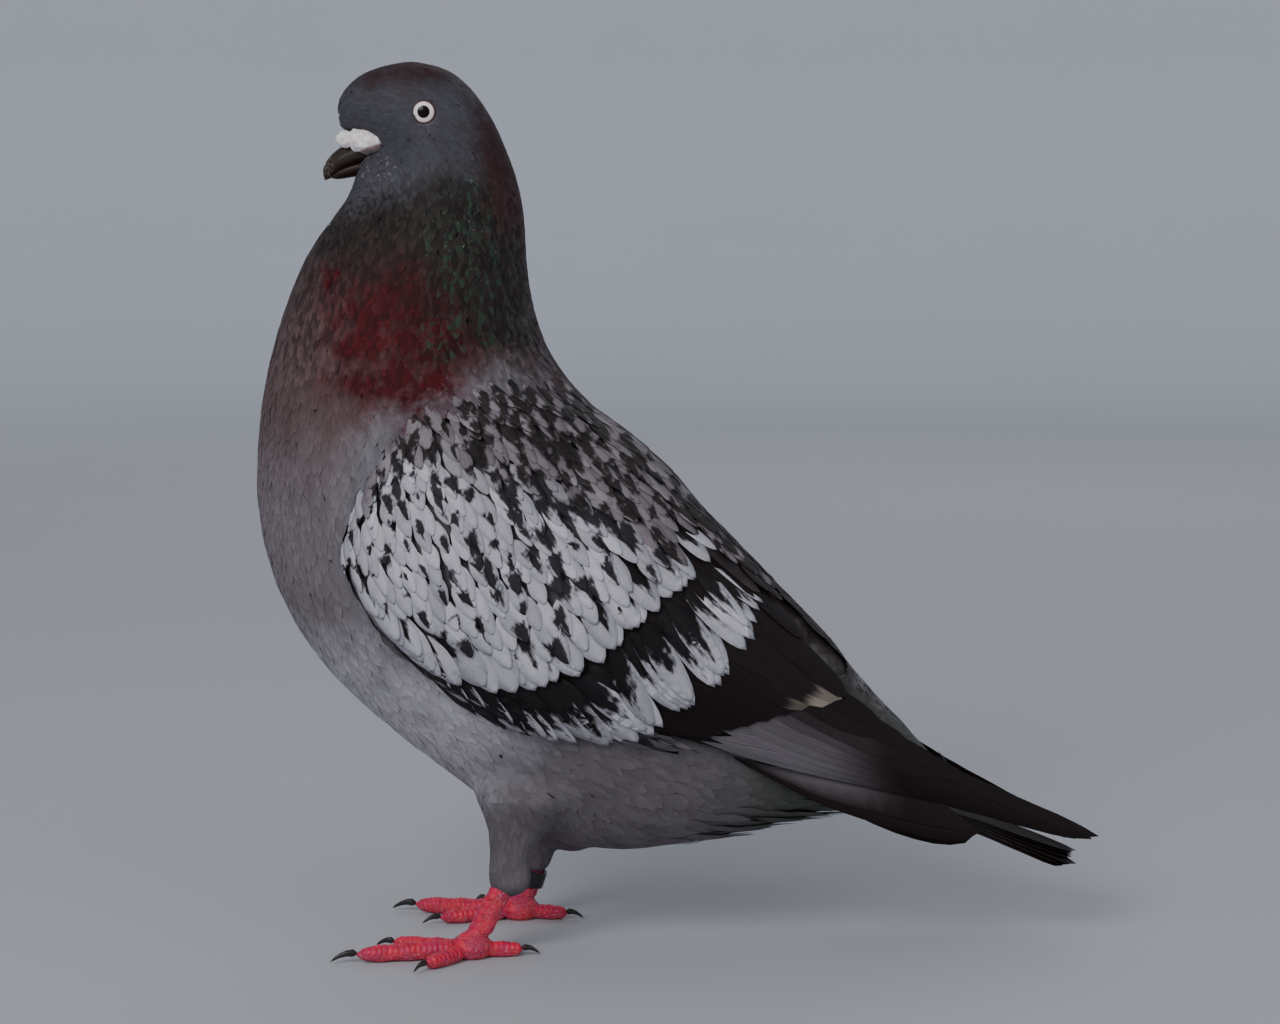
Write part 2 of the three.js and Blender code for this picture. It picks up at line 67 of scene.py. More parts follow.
# The bird's own measure: millimetres, x backwards from a point over the feet, z up from the floor.
EYE_LOW, EYE_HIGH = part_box("eye_left")
EYE_ALONG = -58.9
OFFSET = (EYE_LOW.x + EYE_HIGH.x) / 2 / MM - EYE_ALONG
EYE_Z = (EYE_LOW.z + EYE_HIGH.z) / 2 / MM
TO_BIRD = Matrix.Scale(1 / MM, 4) @ Matrix.Translation((-OFFSET * MM, 0, 0))
SHELL_GROW = 0.00025  # closes the thin cuts between neighbouring solids
OUTER_VOXEL, FINE_VOXEL, CLAW_VOXEL = 0.0014, 0.0003, 0.00025  # fineness of fused shapes, in metres
EYE_BARE, BILL_BARE = 3.25, 0.3  # bare rings round the eye and the bill
FACE_Z, THROAT_Z = 200, 205  # over these heights the feathers mind the eye

# Middle line from the bill over the head, down the neck, along the back to the tail: x, z.
SPINE = np.array([(-84, 226), (-60, 229.5), (-56.5, 205), (-62, 180), (-60, 150), (-45, 120), (-20, 90), (10, 70),
                  (50, 55), (125, 27)], float)
RUNS = np.diff(SPINE, axis=0)
SPANS = np.linalg.norm(RUNS, axis=1)
REACHED = np.concatenate([[0], np.cumsum(SPANS)])


def to_bird(points):
    """Frame metres to the bird's millimetres."""
    return np.asarray(points, float) / MM - np.array([OFFSET, 0, 0])


def to_frame(points):
    """The bird's millimetres to frame metres."""
    return (np.asarray(points, float) + np.array([OFFSET, 0, 0])) * MM


def unit(vectors):
    return vectors / np.maximum(np.linalg.norm(vectors, axis=-1, keepdims=True), 1e-9)


def smooth(value, low, high):
    """0 below low, 1 above high, eased between."""
    t = np.clip((value - low) / (high - low), 0, 1)
    return t * t * (3 - 2 * t)


def bell(rng, count, limit=9.0):
    """Bell-shaped random numbers, cut off at the limit."""
    return rng.standard_normal(count).clip(-limit, limit)


def srgb(*shade):
    """A colour from 0-255 paint values to the linear ones that shaders use."""
    return tuple((c / 255 / 12.92) if c <= 10 else ((c / 255 + 0.055) / 1.055) ** 2.4 for c in shade)


# ---------------------------------------------------------------- sizes and colours a user may change
def length(name, about, value):
    return FloatProperty(name=name, description=about, default=value, min=0.0, max=0.1, unit="LENGTH", precision=5)


def paint(name, about, *shade):
    return FloatVectorProperty(name=name, description=about, default=srgb(*shade), min=0.0, max=1.0, size=3,
                               subtype="COLOR")


class PigeonSizes(bpy.types.PropertyGroup):
    """Sizes of the coat, skin and eyes."""

    coat_depth: length("Coat depth", "Depth of the feathers over the skin on the trunk", 0.0014)
    face_depth: length("Face coat depth", "Depth of the feathers on the face", 0.0004)
    skin_voxel: length("Skin voxel", "Fineness of the body skin", 0.0015)
    foot_voxel: length("Foot voxel", "Fineness of the bare legs and toes", 0.00042)
    vane_thick: length("Vane thickness", "Half thickness of a body feather", 0.00004)
    pupil: length("Pupil radius", "Radius of the pupil", 0.0017)
    iris: length("Iris radius", "Radius of the iris inside the lids", 0.0029)
    patch: FloatProperty(name="Bake patch", description="Width of a body feather's patch on the bake map",
                         default=0.0035, min=0.001, max=0.02)


class PigeonColours(bpy.types.PropertyGroup):
    """Colours of the plumage and bare parts."""

    slate: paint("Head slate", "Head feathers", 67, 66, 72)
    crown: paint("Crown", "Brownish crown and nape", 52, 32, 33)
    neck: paint("Neck", "Dark neck", 41, 33, 31)
    green: paint("Neck green", "Green gloss of the neck", 33, 50, 40)
    crimson: paint("Neck crimson", "Wine-red patch on the side of the neck", 64, 4, 12)
    wine: paint("Vinous front", "Front of the neck and upper breast", 86, 69, 69)
    breast: paint("Breast", "Middle of the breast", 111, 103, 108)
    belly: paint("Belly", "Belly, flanks and thighs", 164, 161, 168)
    vent: paint("Vent", "Shaded rear of the belly and the thighs", 98, 92, 97)
    shoulder: paint("Shoulder", "Plain grey before the wing", 113, 110, 116)
    mantle: paint("Mantle", "Back between the wings", 82, 75, 79)
    rump: paint("Rump", "Rump and tail coverts", 150, 149, 156)
    pale: paint("Covert grey", "Pale ground of the wing coverts", 184, 182, 189)
    spot: paint("Small marks", "Wedges on the small wing coverts", 45, 42, 47)
    fleck: paint("Fleck", "Black flecks and bars", 26, 22, 24)
    brown: paint("Quill brown", "Brown-black of the long wing feathers", 20, 8, 9)
    web: paint("Quill grey", "Grey webs of the primaries", 108, 101, 107)
    buff: paint("Buff", "Worn pale tips", 140, 128, 118)
    leg: paint("Leg red", "Bare legs and toes", 228, 34, 70)
    horn: paint("Bill horn", "Bill", 34, 18, 13)
    cere: paint("Cere", "Powdery cere", 250, 244, 246)
    iris: paint("Iris", "Pearl iris", 250, 240, 238)
    lid: paint("Lid", "Thin skin round the eye", 50, 22, 22)


def sizes():
    return bpy.context.scene.pigeon_sizes


def tone_of(tone):
    """A shader colour from a colour's name, from 0-255 paint values, or from a tone already made."""
    if isinstance(tone, str):
        return (*getattr(bpy.context.scene.pigeon_colours, tone), 1.0)
    return (*srgb(*tone), 1.0) if isinstance(tone, tuple) and len(tone) == 3 else tone


# ---------------------------------------------------------------- finishes
def maths(operation, swap=False):
    """A sum that Wire can do, with its values in turn or the other way round."""
    def work(wire, *others):
        values = (*others, wire) if swap else (wire, *others)
        return wire.finish.node("ShaderNodeMath", dict(enumerate(values)), operation=operation)
    return work


class Wire:
    """A number, vector or colour inside a finish, worked with as in plain sums."""

    def __init__(self, finish, socket):
        self.finish, self.socket = finish, socket

    def ramp(self, low, high):
        """0 at low, 1 at high, eased between."""
        return self.finish.node("ShaderNodeMapRange", {0: self, 1: low, 2: high}, interpolation_type="SMOOTHSTEP")

    __add__ = __radd__ = maths("ADD")
    __sub__, __rsub__ = maths("SUBTRACT"), maths("SUBTRACT", swap=True)
    __mul__ = __rmul__ = maths("MULTIPLY")
    __pow__, __abs__, root = maths("POWER"), maths("ABSOLUTE"), maths("SQRT")
    least, most = maths("MINIMUM"), maths("MAXIMUM")
    sine, cosine, angle = maths("SINE"), maths("COSINE"), maths("ARCTAN2")


def hypotenuse(a, b):
    return (a * a + b * b).root()


class Finish:
    """A material, with short ways to wire its nodes."""

    def __init__(self, name, roughness, specular, **settings):
        self.material = bpy.data.materials.new(name)
        self.material.use_nodes = True
        self.tree = self.material.node_tree
        self.tree.nodes.clear()
        self.shader = self.tree.nodes.new("ShaderNodeBsdfPrincipled")
        output = self.tree.nodes.new("ShaderNodeOutputMaterial")
        self.tree.links.new(self.shader.outputs[0], output.inputs[0])
        for socket, value in dict(Roughness=roughness, Specular_IOR_Level=specular, **settings).items():
            self.put(self.shader, socket.replace("_", " "), value)
        self.where = self.node("ShaderNodeTexCoord", {}, "Object")

    def put(self, made, socket, value):
        if isinstance(value, Wire):
            self.tree.links.new(value.socket, made.inputs[socket])
        else:
            made.inputs[socket].default_value = value

    def node(self, kind, inputs, output=0, **settings):
        made = self.tree.nodes.new(kind)
        for key, value in settings.items():
            setattr(made, key, value)
        for key, value in inputs.items():
            self.put(made, key, value)
        return Wire(self, made.outputs[output])

    def blend(self, share, first, second, how="MIX"):
        return self.node("ShaderNodeMix", {0: share, 6: tone_of(first), 7: tone_of(second)}, 2, data_type="RGBA",
                         blend_type=how)

    def layered(self, tone, *layers):
        """A tone with others laid over it in turn, each by its share."""
        for share, over in layers:
            tone = self.blend(share, tone, over)
        return tone

    def shade(self, tone, amount):
        """A colour times a grey amount."""
        return self.blend(1.0, tone, self.vector(amount, amount, amount), "MULTIPLY")

    def vector(self, x, y, z):
        return self.node("ShaderNodeCombineXYZ", {0: x, 1: y, 2: z})

    def split(self, vector):
        made = self.node("ShaderNodeSeparateXYZ", {0: vector}).socket.node
        return [Wire(self, socket) for socket in made.outputs]

    def place(self):
        """The bird's millimetres as a vector, then how far back, how far aside and how high."""
        vector = self.node("ShaderNodeMapping", {0: self.where, 1: (-OFFSET, 0, 0), 3: (1 / MM,) * 3})
        x, y, z = self.split(vector)
        return vector, x, abs(y), z

    def read(self, name):
        """The three numbers of a vector attribute."""
        return self.split(self.node("ShaderNodeAttribute", {}, "Vector", attribute_name=name))

    def noise(self, vector, scale, detail=2.0, rough=0.5):
        return self.node("ShaderNodeTexNoise", {"Vector": vector, "Scale": scale, "Detail": detail,
                                                "Roughness": rough})

    def grain(self, vector, stretch, detail):
        """Noise drawn out along one way."""
        return self.noise(self.node("ShaderNodeMapping", {0: vector, 3: stretch}), 1.0, detail, 0.6)

    def streaks(self, slant, fine, broad):
        """The barbs of a vane, slanting out from its shaft."""
        wide, far, seed = self.read("vane")
        return self.noise(self.vector((far - abs(wide) * slant) * fine, wide * broad, seed), 1.0, 2.0, 0.6)

    def finished(self, tone, height, strength, distance, roughness=None):
        self.put(self.shader, "Base Color", tone)
        if roughness is not None:
            self.put(self.shader, "Roughness", roughness)
        bump = self.node("ShaderNodeBump", {"Height": height, "Strength": strength, "Distance": distance})
        self.put(self.shader, "Normal", bump)
        return self.material


def body_paint(f, tint=None):
    """The plumage colours of head, neck, breast, belly and back, by place on the bird."""
    where, x, aside, z = f.place()
    wander = (f.noise(where, 0.11, 3.0, 0.65) - 0.5) * 18.0
    zw, xw = z + wander, x + wander
    # the rear of the belly, the thighs and the undertail take the darker vent tones: partly the real darker vent,
    # partly painted shade on the underside
    rear = (z * -0.9 + xw).ramp(-108, -72) * z.ramp(96, 74)
    # plain grey in front of the wing, below a line that falls forward, and the dark neck above it
    line = (x + 52).least(6) * 0.5 + 163
    before_wing = (line - zw).ramp(-3, 7) * (aside * 0.3 + xw).ramp(-76, -56) * z.ramp(80, 110)
    neck = (zw - line).ramp(-4, 6) * (z - 165 + (xw + 56)).ramp(-9, 9)
    # wine-red patch with a small one above it, the green gloss behind them, and pale green painted highlights sparkling
    # in the gloss
    out = hypotenuse(((z - 178) * 0.25 + xw + 68) * (1 / 25), (zw - 169) * (1 / 27))
    out = out.least(abs(xw * 0.1 + 8.4) + abs(zw * 0.11 - 20.8) + 0.3)
    red = (1 - out.ramp(0.2, 1.25)) * (f.noise(where, 0.16, 4.0, 0.65) * 3.0 - 0.45)
    gloss = neck * xw.ramp(-66, -50)
    glint = f.noise(where, 0.45, 3.0, 0.7)
    if tint is not None:
        glint = tint * 0.25 + (glint - 0.12)
    # painted highlights: sparse pale green glints on the neck's gloss
    painted_sparkle = f.noise(where, 1.1, 2.0, 0.6).ramp(0.66, 0.78) * zw.ramp(184, 196)
    nape = (z * 0.2 + xw).ramp(-3, 5) * z.ramp(190, 208)
    # back between the wings, then the pale rump
    back = (zw - ((x + 30) * -0.8 + 150)).ramp(-6, 6) * x.ramp(-40, -20)
    cloud = f.noise(where, 0.28, 2.0, 0.6).ramp(0.42, 0.6)
    mottle = f.noise(where, 0.3, 3.0, 0.7).ramp(0.46, 0.56)
    # pale flecks behind the gape
    dx, dz = x * 0.14 + 10.1, z * 0.2 - 43.6
    gape = (dx * dx + dz * dz).ramp(1.0, 0.2) * f.noise(where, 0.9, 3.0, 0.7).ramp(0.56, 0.68)
    return f.layered(
        "belly", (zw.ramp(72, 102), "breast"), (zw.ramp(122, 156), "wine"),
        (rear, f.blend(xw.ramp(12, 42), "vent", (74, 75, 72))), (before_wing, "shoulder"), (neck, "neck"),
        (zw.ramp(164, 190) * 0.55, "neck"), (red, "crimson"), (glint.ramp(0.46, 0.72) * gloss, "green"),
        (painted_sparkle * gloss, (120, 134, 124)), ((x * -0.27 + zw).ramp(222, 236), "slate"),
        (zw.ramp(236, 248).most(nape), "crown"), (back, f.blend(cloud, "crown", "mantle")),
        (back * xw.ramp(16, 34), "neck"), (back * xw.ramp(56, 64), f.blend(mottle, "rump", "crown")),
        (gape, (128, 122, 124)))


def coat_finish():
    """Soft feathers of the body, each a little lighter or darker than the next, with fine barbs."""
    f = Finish("soft_body_feathers", 0.62, 0.16)
    _, along, tint = f.read("spot")
    where, _, _, z = f.place()
    streak = f.streaks(0.8, 5.0, 0.7)
    neck = z.ramp(150, 172) * z.ramp(222, 206)
    shade = (tint - 0.5) * (neck * 0.7 + 0.3) + 1.01
    shade *= f.noise(where, 0.07) * 0.5 + 0.75
    shade *= (streak * 0.4 + 0.8) * (along.ramp(0.5, 1.0) * 0.12 + 0.94)
    return f.finished(f.shade(body_paint(f, tint), shade), streak, 0.5, 0.0002)


def under_finish():
    """Down-like shade of the plumage on the skin itself."""
    f = Finish("skin_under_feathers", 0.8, 0.2)
    grain = f.noise(f.place()[0], 1.2, 3.0, 0.65)
    return f.finished(f.shade(body_paint(f), grain * 0.4 + 0.72), grain, 0.4, 0.0004)


def covert_finish():
    """Chequered wing coverts: pale grey feathers with ragged black wedges, darker and mottled by the back."""
    f = Finish("chequered_coverts", 0.62, 0.16)
    _, along, tint = f.read("spot")
    wide, far, _ = f.read("vane")
    bar, dark, fringe = f.read("ends")
    down, aside, seed = f.read("mark")
    wobble = (f.noise(f.vector(wide * 0.8, far * 0.28, seed), 1.0, 2.5, 0.55) - 0.49) * 1.15
    wedge = down * -WEDGE + WEDGE - abs(aside)  # wide above and pointed towards the feathers' tips
    inside = (wedge.least((down + MARK_TOP) * 1.5) + wobble).ramp(-0.2, 0.2)
    ground = f.blend(dark, "pale", f.shade("mantle", 2.2))
    mark = f.blend(dark * 0.8, f.blend(bar.ramp(0.1, 0.2), "spot", "fleck"), "neck")
    tone = f.layered(ground, (inside, mark), (along.ramp(0.86, 0.99) * fringe, "shoulder"))
    streak = f.streaks(0.9, 3.5, 0.4)
    shaft = 1 - abs(wide).ramp(0.05, 0.32)
    shade = (tint * 0.4 + 0.8) * (streak * 0.34 + 0.83)
    shade *= (f.noise(f.place()[0], 0.35, 3.0, 0.6) * 0.5 + 0.75) * (shaft * -0.06 + 1)
    return f.finished(f.shade(tone, shade), shaft * 0.8 + streak, 0.45, 0.0002)


def quill_finish():
    """Long wing feathers: grey streaked webs that turn brown-black towards the tip and the back."""
    f = Finish("long_wing_feathers", 0.55, 0.2)
    _, along, tint = f.read("spot")
    wide, far, seed = f.read("vane")
    _, dark, worn = f.read("ends")
    fray = f.noise(f.vector(wide * 1.2, 0.0, seed), 1.0, 2.0, 0.6) * 0.12
    tone = f.layered("web", (dark, "brown"), ((along + fray).ramp(0.91, 0.98) * worn, "buff"))
    streak = f.streaks(1.2, 1.6, 0.5)
    long = f.noise(f.vector(far * 0.05, wide * 2.2, seed), 1.0, 3.0, 0.6)
    shaft = 1 - abs(wide - 0.4).ramp(0.15, 0.5)
    shade = (tint * 0.16 + 0.92) * (streak * 0.2 + 0.9) * (long * 0.6 + 0.7)
    return f.finished(f.shade(tone, shade), shaft * 1.5 + streak, 0.5, 0.0003)


def tail_finish():
    """Blue-grey tail feathers with a black band and a worn pale tip."""
    f = Finish("tail_feathers", 0.55, 0.2)
    tint = f.read("spot")[2]
    wide, _, seed = f.read("vane")
    fray = f.noise(f.vector(wide * 1.5, 0.0, seed), 1.0, 3.0, 0.7) * 8.0 + f.place()[1]
    tone = f.layered("web", (fray.ramp(70, 77), "brown"), (fray.ramp(126, 128.5) * 0.8, "buff"))
    streak = f.streaks(1.2, 1.6, 0.5)
    shaft = 1 - abs(wide).ramp(0.15, 0.5)
    shade = (tint * 0.2 + 0.9) * (streak * 0.3 + 0.85)
    return f.finished(f.shade(tone, shade), shaft * 1.5 + streak, 0.5, 0.0003)


@functools.lru_cache(None)
def leg_finish():
    """Crimson scaly skin, paler and dusty between the plates."""
    f = Finish("scaly_leg_skin", 0.48, 0.45, Subsurface_Weight=0.12, Subsurface_Scale=0.001)
    where = f.place()[0]
    along, front, _ = f.read("plate")
    ridge = abs((along * math.pi).sine()) ** 0.5
    cells = f.node("ShaderNodeTexVoronoi", {"Vector": where, "Scale": 1.15}, feature="DISTANCE_TO_EDGE")
    height = ridge * front + cells.ramp(0.0, 0.16) * (1 - front)
    dust = f.noise(where, 0.5, 4.0, 0.65)
    deep = (*[c * 0.55 for c in tone_of("leg")[:3]], 1.0)
    tone = f.layered("leg", (dust.ramp(0.35, 0.7), deep),
                     (f.noise(where, 0.22, 3.0, 0.6).ramp(0.42, 0.62) * 0.7, (176, 22, 84)),
                     ((1 - height.ramp(0.05, 0.55)) * 0.42, (226, 160, 158)))
    return f.finished(tone, height, 0.7, 0.0003, dust * 0.3 + 0.36)


def bill_finish():
    """Brown-black horn with growth lines, scuffed paler along the edge and the tip."""
    f = Finish("bill_horn", 0.5, 0.3)
    where, x, _, _ = f.place()
    grain = f.grain(where, (0.6, 2.2, 2.2), 4.0)
    scuff = f.noise(where, 1.4, 3.0, 0.7).ramp(0.58, 0.75)
    worn = x.ramp(-83.5, -87.5) * f.noise(where, 1.5, 4.0, 0.7).ramp(0.5, 0.62)
    tone = f.layered("horn", (scuff * 0.3, (104, 78, 66)), (worn * 0.6, (150, 134, 120)))
    return f.finished(f.shade(tone, grain * 0.7 + 0.65), grain, 0.35, 0.0002, scuff * 0.2 + 0.46)


def cere_finish():
    """Chalky white skin with fine wrinkles and a pink flush, and a darker pink-grey lower edge that is partly its own
    tone, partly painted shade.
    """
    f = Finish("powdery_cere", 0.85, 0.2, Sheen_Weight=0.3, Sheen_Roughness=0.6)
    where, x, _, z = f.place()
    grain, lump = f.noise(where, 2.6, 4.0, 0.7), f.noise(where, 0.8)
    # below a sloping line the cere's lower edge is darker pink-grey: partly its own tone, partly painted shade
    clear_of_painted_shade = ((x + 77) * -0.35 + z).ramp(222.6, 223.8)
    tone = f.blend(clear_of_painted_shade, (120, 98, 94), f.blend(lump.ramp(0.4, 0.7), "cere", (226, 204, 204)))
    return f.finished(f.shade(tone, grain * 0.5 + 0.72), grain + lump, 0.55, 0.0003)


def claw_finish():
    """Near-black horn, worn at the tips."""
    f = Finish("claw_horn", 0.4, 0.5)
    grain = f.grain(f.place()[0], (0.8, 2.0, 2.0), 3.0)
    return f.finished(f.shade((36, 30, 30), grain * 0.9 + 0.5), grain, 0.3, 0.0002)


def ring_finish():
    """Glossy black plastic with rubbed edges."""
    f = Finish("ring_plastic", 0.28, 0.5)
    rub = f.noise(f.place()[0], 1.6, 4.0, 0.7)
    return f.finished(f.blend(rub.ramp(0.5, 0.8), (26, 26, 28), (70, 70, 74)), rub, 0.15, 0.0001, rub * 0.35 + 0.14)


def eye_finish(middle):
    """Pearl iris round a black pupil under a clear wet front."""
    f = Finish("pearl_eye", 0.4, 0.1, Coat_Weight=0.22, Coat_Roughness=0.03)
    _, x, _, z = f.place()
    dx, dz = x - float(middle[0]), z - float(middle[2])
    out, turn = hypotenuse(dx, dz), dz.angle(dx)
    rays = f.noise(f.vector(turn.sine() * 7.0, turn.cosine() * 7.0, out * 0.25), 1.0, 3.0, 0.6)
    pupil, iris = sizes().pupil / MM, sizes().iris / MM
    tone = f.layered("iris", (rays.ramp(0.45, 0.8), (226, 200, 198)),
                     ((1 - out.ramp(pupil + 0.05, pupil + 0.4)) * 0.35, (206, 166, 140)),
                     (out.ramp(iris - 0.45, iris - 0.05) * 0.55, (150, 90, 88)),
                     (out.ramp(iris - 0.05, iris + 0.12), (24, 18, 18)))
    tone = f.blend(out.ramp(pupil - 0.06, pupil + 0.06), (4, 4, 5), tone)
    return f.finished(tone, rays * out.ramp(pupil, pupil + 0.3), 0.12, 0.0001)


def lid_finish():
    """Thin dark skin of the lids, finely beaded."""
    f = Finish("eye_lid_skin", 0.5, 0.45)
    where, x, _, z = f.place()
    bead = f.node("ShaderNodeTexVoronoi", {"Vector": where, "Scale": 2.2})
    out, iris = hypotenuse(x - EYE_ALONG, z - EYE_Z), sizes().iris / MM
    tone = f.layered((80, 48, 44), (bead.ramp(0.1, 0.6), "lid"),
                     (out.ramp(iris + 0.3, iris + 0.55), f.shade("slate", bead * 0.5 + 0.6)))
    return f.finished(tone, 1 - bead, 0.5, 0.0002)


# ---------------------------------------------------------------- surfaces the feathers lie on
def mesh_of(name, bm):
    mesh = bpy.data.meshes.new(name)
    bm.to_mesh(mesh)
    bm.free()
    return mesh


def piece(name, mesh, *finishes):
    made = bpy.data.objects.new(name, mesh)
    bpy.context.scene.collection.objects.link(made)
    for finish in finishes:
        mesh.materials.append(finish)
    return made


def rounded(name, bm, *finishes):
    """A piece with soft shading over its edges."""
    for face in bm.faces:
        face.smooth = True
    return piece(name, mesh_of(name, bm), *finishes)


def store(mesh, name, values):
    layer = mesh.attributes.new(name, "FLOAT_VECTOR", "POINT")
    layer.data.foreach_set("vector", np.ascontiguousarray(values, np.float32).ravel())


def node_shell(names, grow=0.0):
    """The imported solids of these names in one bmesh, each grown outwards a little."""
    whole = bmesh.new()
    for name in names:
        part = bmesh.new()
        part.from_mesh(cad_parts[name].data)
        bmesh.ops.remove_doubles(part, verts=part.verts, dist=1e-6)
        part.normal_update()
        for v in part.verts:
            v.co += v.normal * grow
        carrier = mesh_of("carrier", part)
        whole.from_mesh(carrier)
        bpy.data.meshes.remove(carrier)
    return whole


def smoothed(bm, rounds, verts=None):
    for _ in range(rounds):
        bmesh.ops.smooth_vert(bm, verts=bm.verts if verts is None else verts, factor=0.5, use_axis_x=True,
                              use_axis_y=True, use_axis_z=True)
    bm.normal_update()


def fused(bm, voxel, rounds):
    """Closed shapes joined into one even surface and smoothed."""
    body = piece("fusing", mesh_of("fusing", bm))
    change = body.modifiers.new("Remesh", "REMESH")
    change.mode, change.voxel_size = "VOXEL", voxel
    mesh = bpy.data.meshes.new_from_object(body.evaluated_get(bpy.context.evaluated_depsgraph_get()))
    bpy.data.objects.remove(body)
    joined = bmesh.new()
    joined.from_mesh(mesh)
    bpy.data.meshes.remove(mesh)
    smoothed(joined, rounds)
    return joined


# Boxes whose folds are eased: rounds, low corner, high corner.
THIGH_FOLDS = (22, (-62, -99, 34), (2, 99, 62))
TERTIAL_STEP = (26, (38, -19, 66), (78, 19, 999))


def ease(bm, rounds, low, high):
    """Smooths the surface inside a box in the bird's millimetres."""
    place = to_bird([v.co for v in bm.verts])
    inside = ((place > low) & (place < high)).all(1)
    smoothed(bm, rounds, [v for v, ok in zip(bm.verts, inside) if ok])


def tree_of(names):
    bm = node_shell(names)
    bm.transform(TO_BIRD)
    tree = BVHTree.FromBMesh(bm)
    bm.free()
    return tree


def gaps_to(tree, points):
    """How far each point is from a surface."""
    return np.array([tree.find_nearest(p)[3] for p in points.tolist()])


# Loose feathers that fill out the lower ends of the thighs: middle and half sizes.
TUFTS = (((-36.2, -19.9, 22.8), (6.9, 4.6, 6.4)), ((-31.0, 22, 19.2), (6.0, 5.2, 6.4)),
         ((-19.5, 18, 32.5), (13, 7, 12)))


class Outside:
    """The whole bird's outer surface, met at the nearest place."""

    def __init__(self):
        bm = node_shell([*FLESH, "eye_left", "eye_right", "secondaries_left", "secondaries_right"], SHELL_GROW)
        for middle, half in TUFTS:
            made = bmesh.ops.create_icosphere(bm, subdivisions=3, radius=MM)["verts"]
            bmesh.ops.scale(bm, verts=made, vec=half)
            bmesh.ops.translate(bm, verts=made, vec=to_frame(middle))
        bm = fused(bm, OUTER_VOXEL, 8)
        ease(bm, *THIGH_FOLDS)
        ease(bm, *TERTIAL_STEP)
        bm.transform(TO_BIRD)
        bmesh.ops.triangulate(bm, faces=bm.faces)
        bm.normal_update()
        points, normals = np.array([v.co for v in bm.verts]), np.array([v.normal for v in bm.verts])
        faces = np.array([[v.index for v in f.verts] for f in bm.faces])
        self.corners = points[faces]
        self.normals = unit(normals[faces].sum(1))
        self.tree = BVHTree.FromPolygons(points.tolist(), faces.tolist())
        bm.free()

    def snap(self, points):
        found = [self.tree.find_nearest(p) for p in points.tolist()]
        return np.array([place for place, *_ in found]), self.normals[[index for _, _, index, _ in found]]


class Sheet:
    """An outer face held as a height over a flat view, so that it can run on a little past its rim.
    view is (across axis, up axis, height axis, sign)."""

    def __init__(self, tree, low, high, view):
        self.low, self.view = np.array(low, float), view
        a, b, h, sign = view
        counts = (np.array(high) - self.low).astype(int) + 1
        field = np.full(counts, np.nan)
        start, aim = [0.0] * 3, [0.0] * 3
        start[h], aim[h] = 400.0 * sign, -float(sign)
        for i, j in np.ndindex(*counts):
            start[a], start[b] = self.low[0] + i, self.low[1] + j
            hit = tree.ray_cast(start, aim)[0]
            if hit is not None and hit[h] * sign > (0 if h == 1 else -1e9):
                field[i, j] = hit[h] * sign
        self.known = ~np.isnan(field)
        around = [(i, j) for i in (-1, 0, 1) for j in (-1, 0, 1)]

        def shifted(table, margin, i, j):
            return table[margin + i:margin + i + counts[0], margin + j:margin + j + counts[1]]

        for _ in range(40):  # carry the face on past the rim along its slope
            if not np.isnan(field).any():
                break
            far = np.pad(field, 2, constant_values=np.nan)
            guesses = []
            for i, j in around:
                near = shifted(far, 2, i, j)
                rise = np.clip(np.nan_to_num(near - shifted(far, 2, 2 * i, 2 * j), nan=0.0), -1.6, 1.6)
                guesses.append(near + (rise if i or j else 0))
            seen = ~np.isnan(guesses)
            mean = np.where(seen, guesses, 0).sum(0) / np.maximum(seen.sum(0), 1)
            field = np.where(np.isnan(field) & seen.any(0), mean, field)
        field = np.nan_to_num(field, nan=float(np.nanmean(field)))
        for _ in range(3):
            padded = np.pad(field, 1, mode="edge")
            field = sum(shifted(padded, 1, i, j) for i, j in around) / 9
        self.field = np.maximum(field, 2.0) if h == 1 else field
        self.slopes = np.gradient(self.field)

    def look(self, table, points):
        a, b, _, _ = self.view
        place = np.clip(points[:, [a, b]] - self.low, 0, np.array(table.shape) - 1.001)
        (i, j), (u, v) = place.astype(int).T, (place % 1).T
        return ((1 - u) * (1 - v) * table[i, j] + u * (1 - v) * table[i + 1, j]
                + (1 - u) * v * table[i, j + 1] + u * v * table[i + 1, j + 1])

    def covers(self, points):
        """1 where the real face is seen, less at its rim and 0 past it."""
        return self.look(self.known.astype(float), points)

    def snap(self, points):
        a, b, h, sign = self.view
        places, normals = np.array(points, float), np.zeros((len(points), 3))
        places[:, h] = self.look(self.field, points) * sign
        normals[:, a], normals[:, b] = (-self.look(slope, points) for slope in self.slopes)
        normals[:, h] = sign
        return places, unit(normals)

    def rims(self):
        """Places along the view with the lower and upper edge of the face there."""
        has = self.known.any(1)
        known = self.known[has]
        upper = known.shape[1] - 1 - known[:, ::-1].argmax(1)
        return self.low[0] + np.nonzero(has)[0], self.low[1] + known.argmax(1), self.low[1] + upper


@functools.lru_cache(None)
def outside():
    return Outside()


@functools.lru_cache(None)
def flank(side):
    tree = tree_of([f"{n}_{side}" for n in WING_NODES])
    return Sheet(tree, (-86, 24), (136, 166), (0, 2, 1, SIDES[side]))


def trace(pairs, at):
    """Straight-line values between pairs of place and value."""
    return np.interp(at, *zip(*pairs))


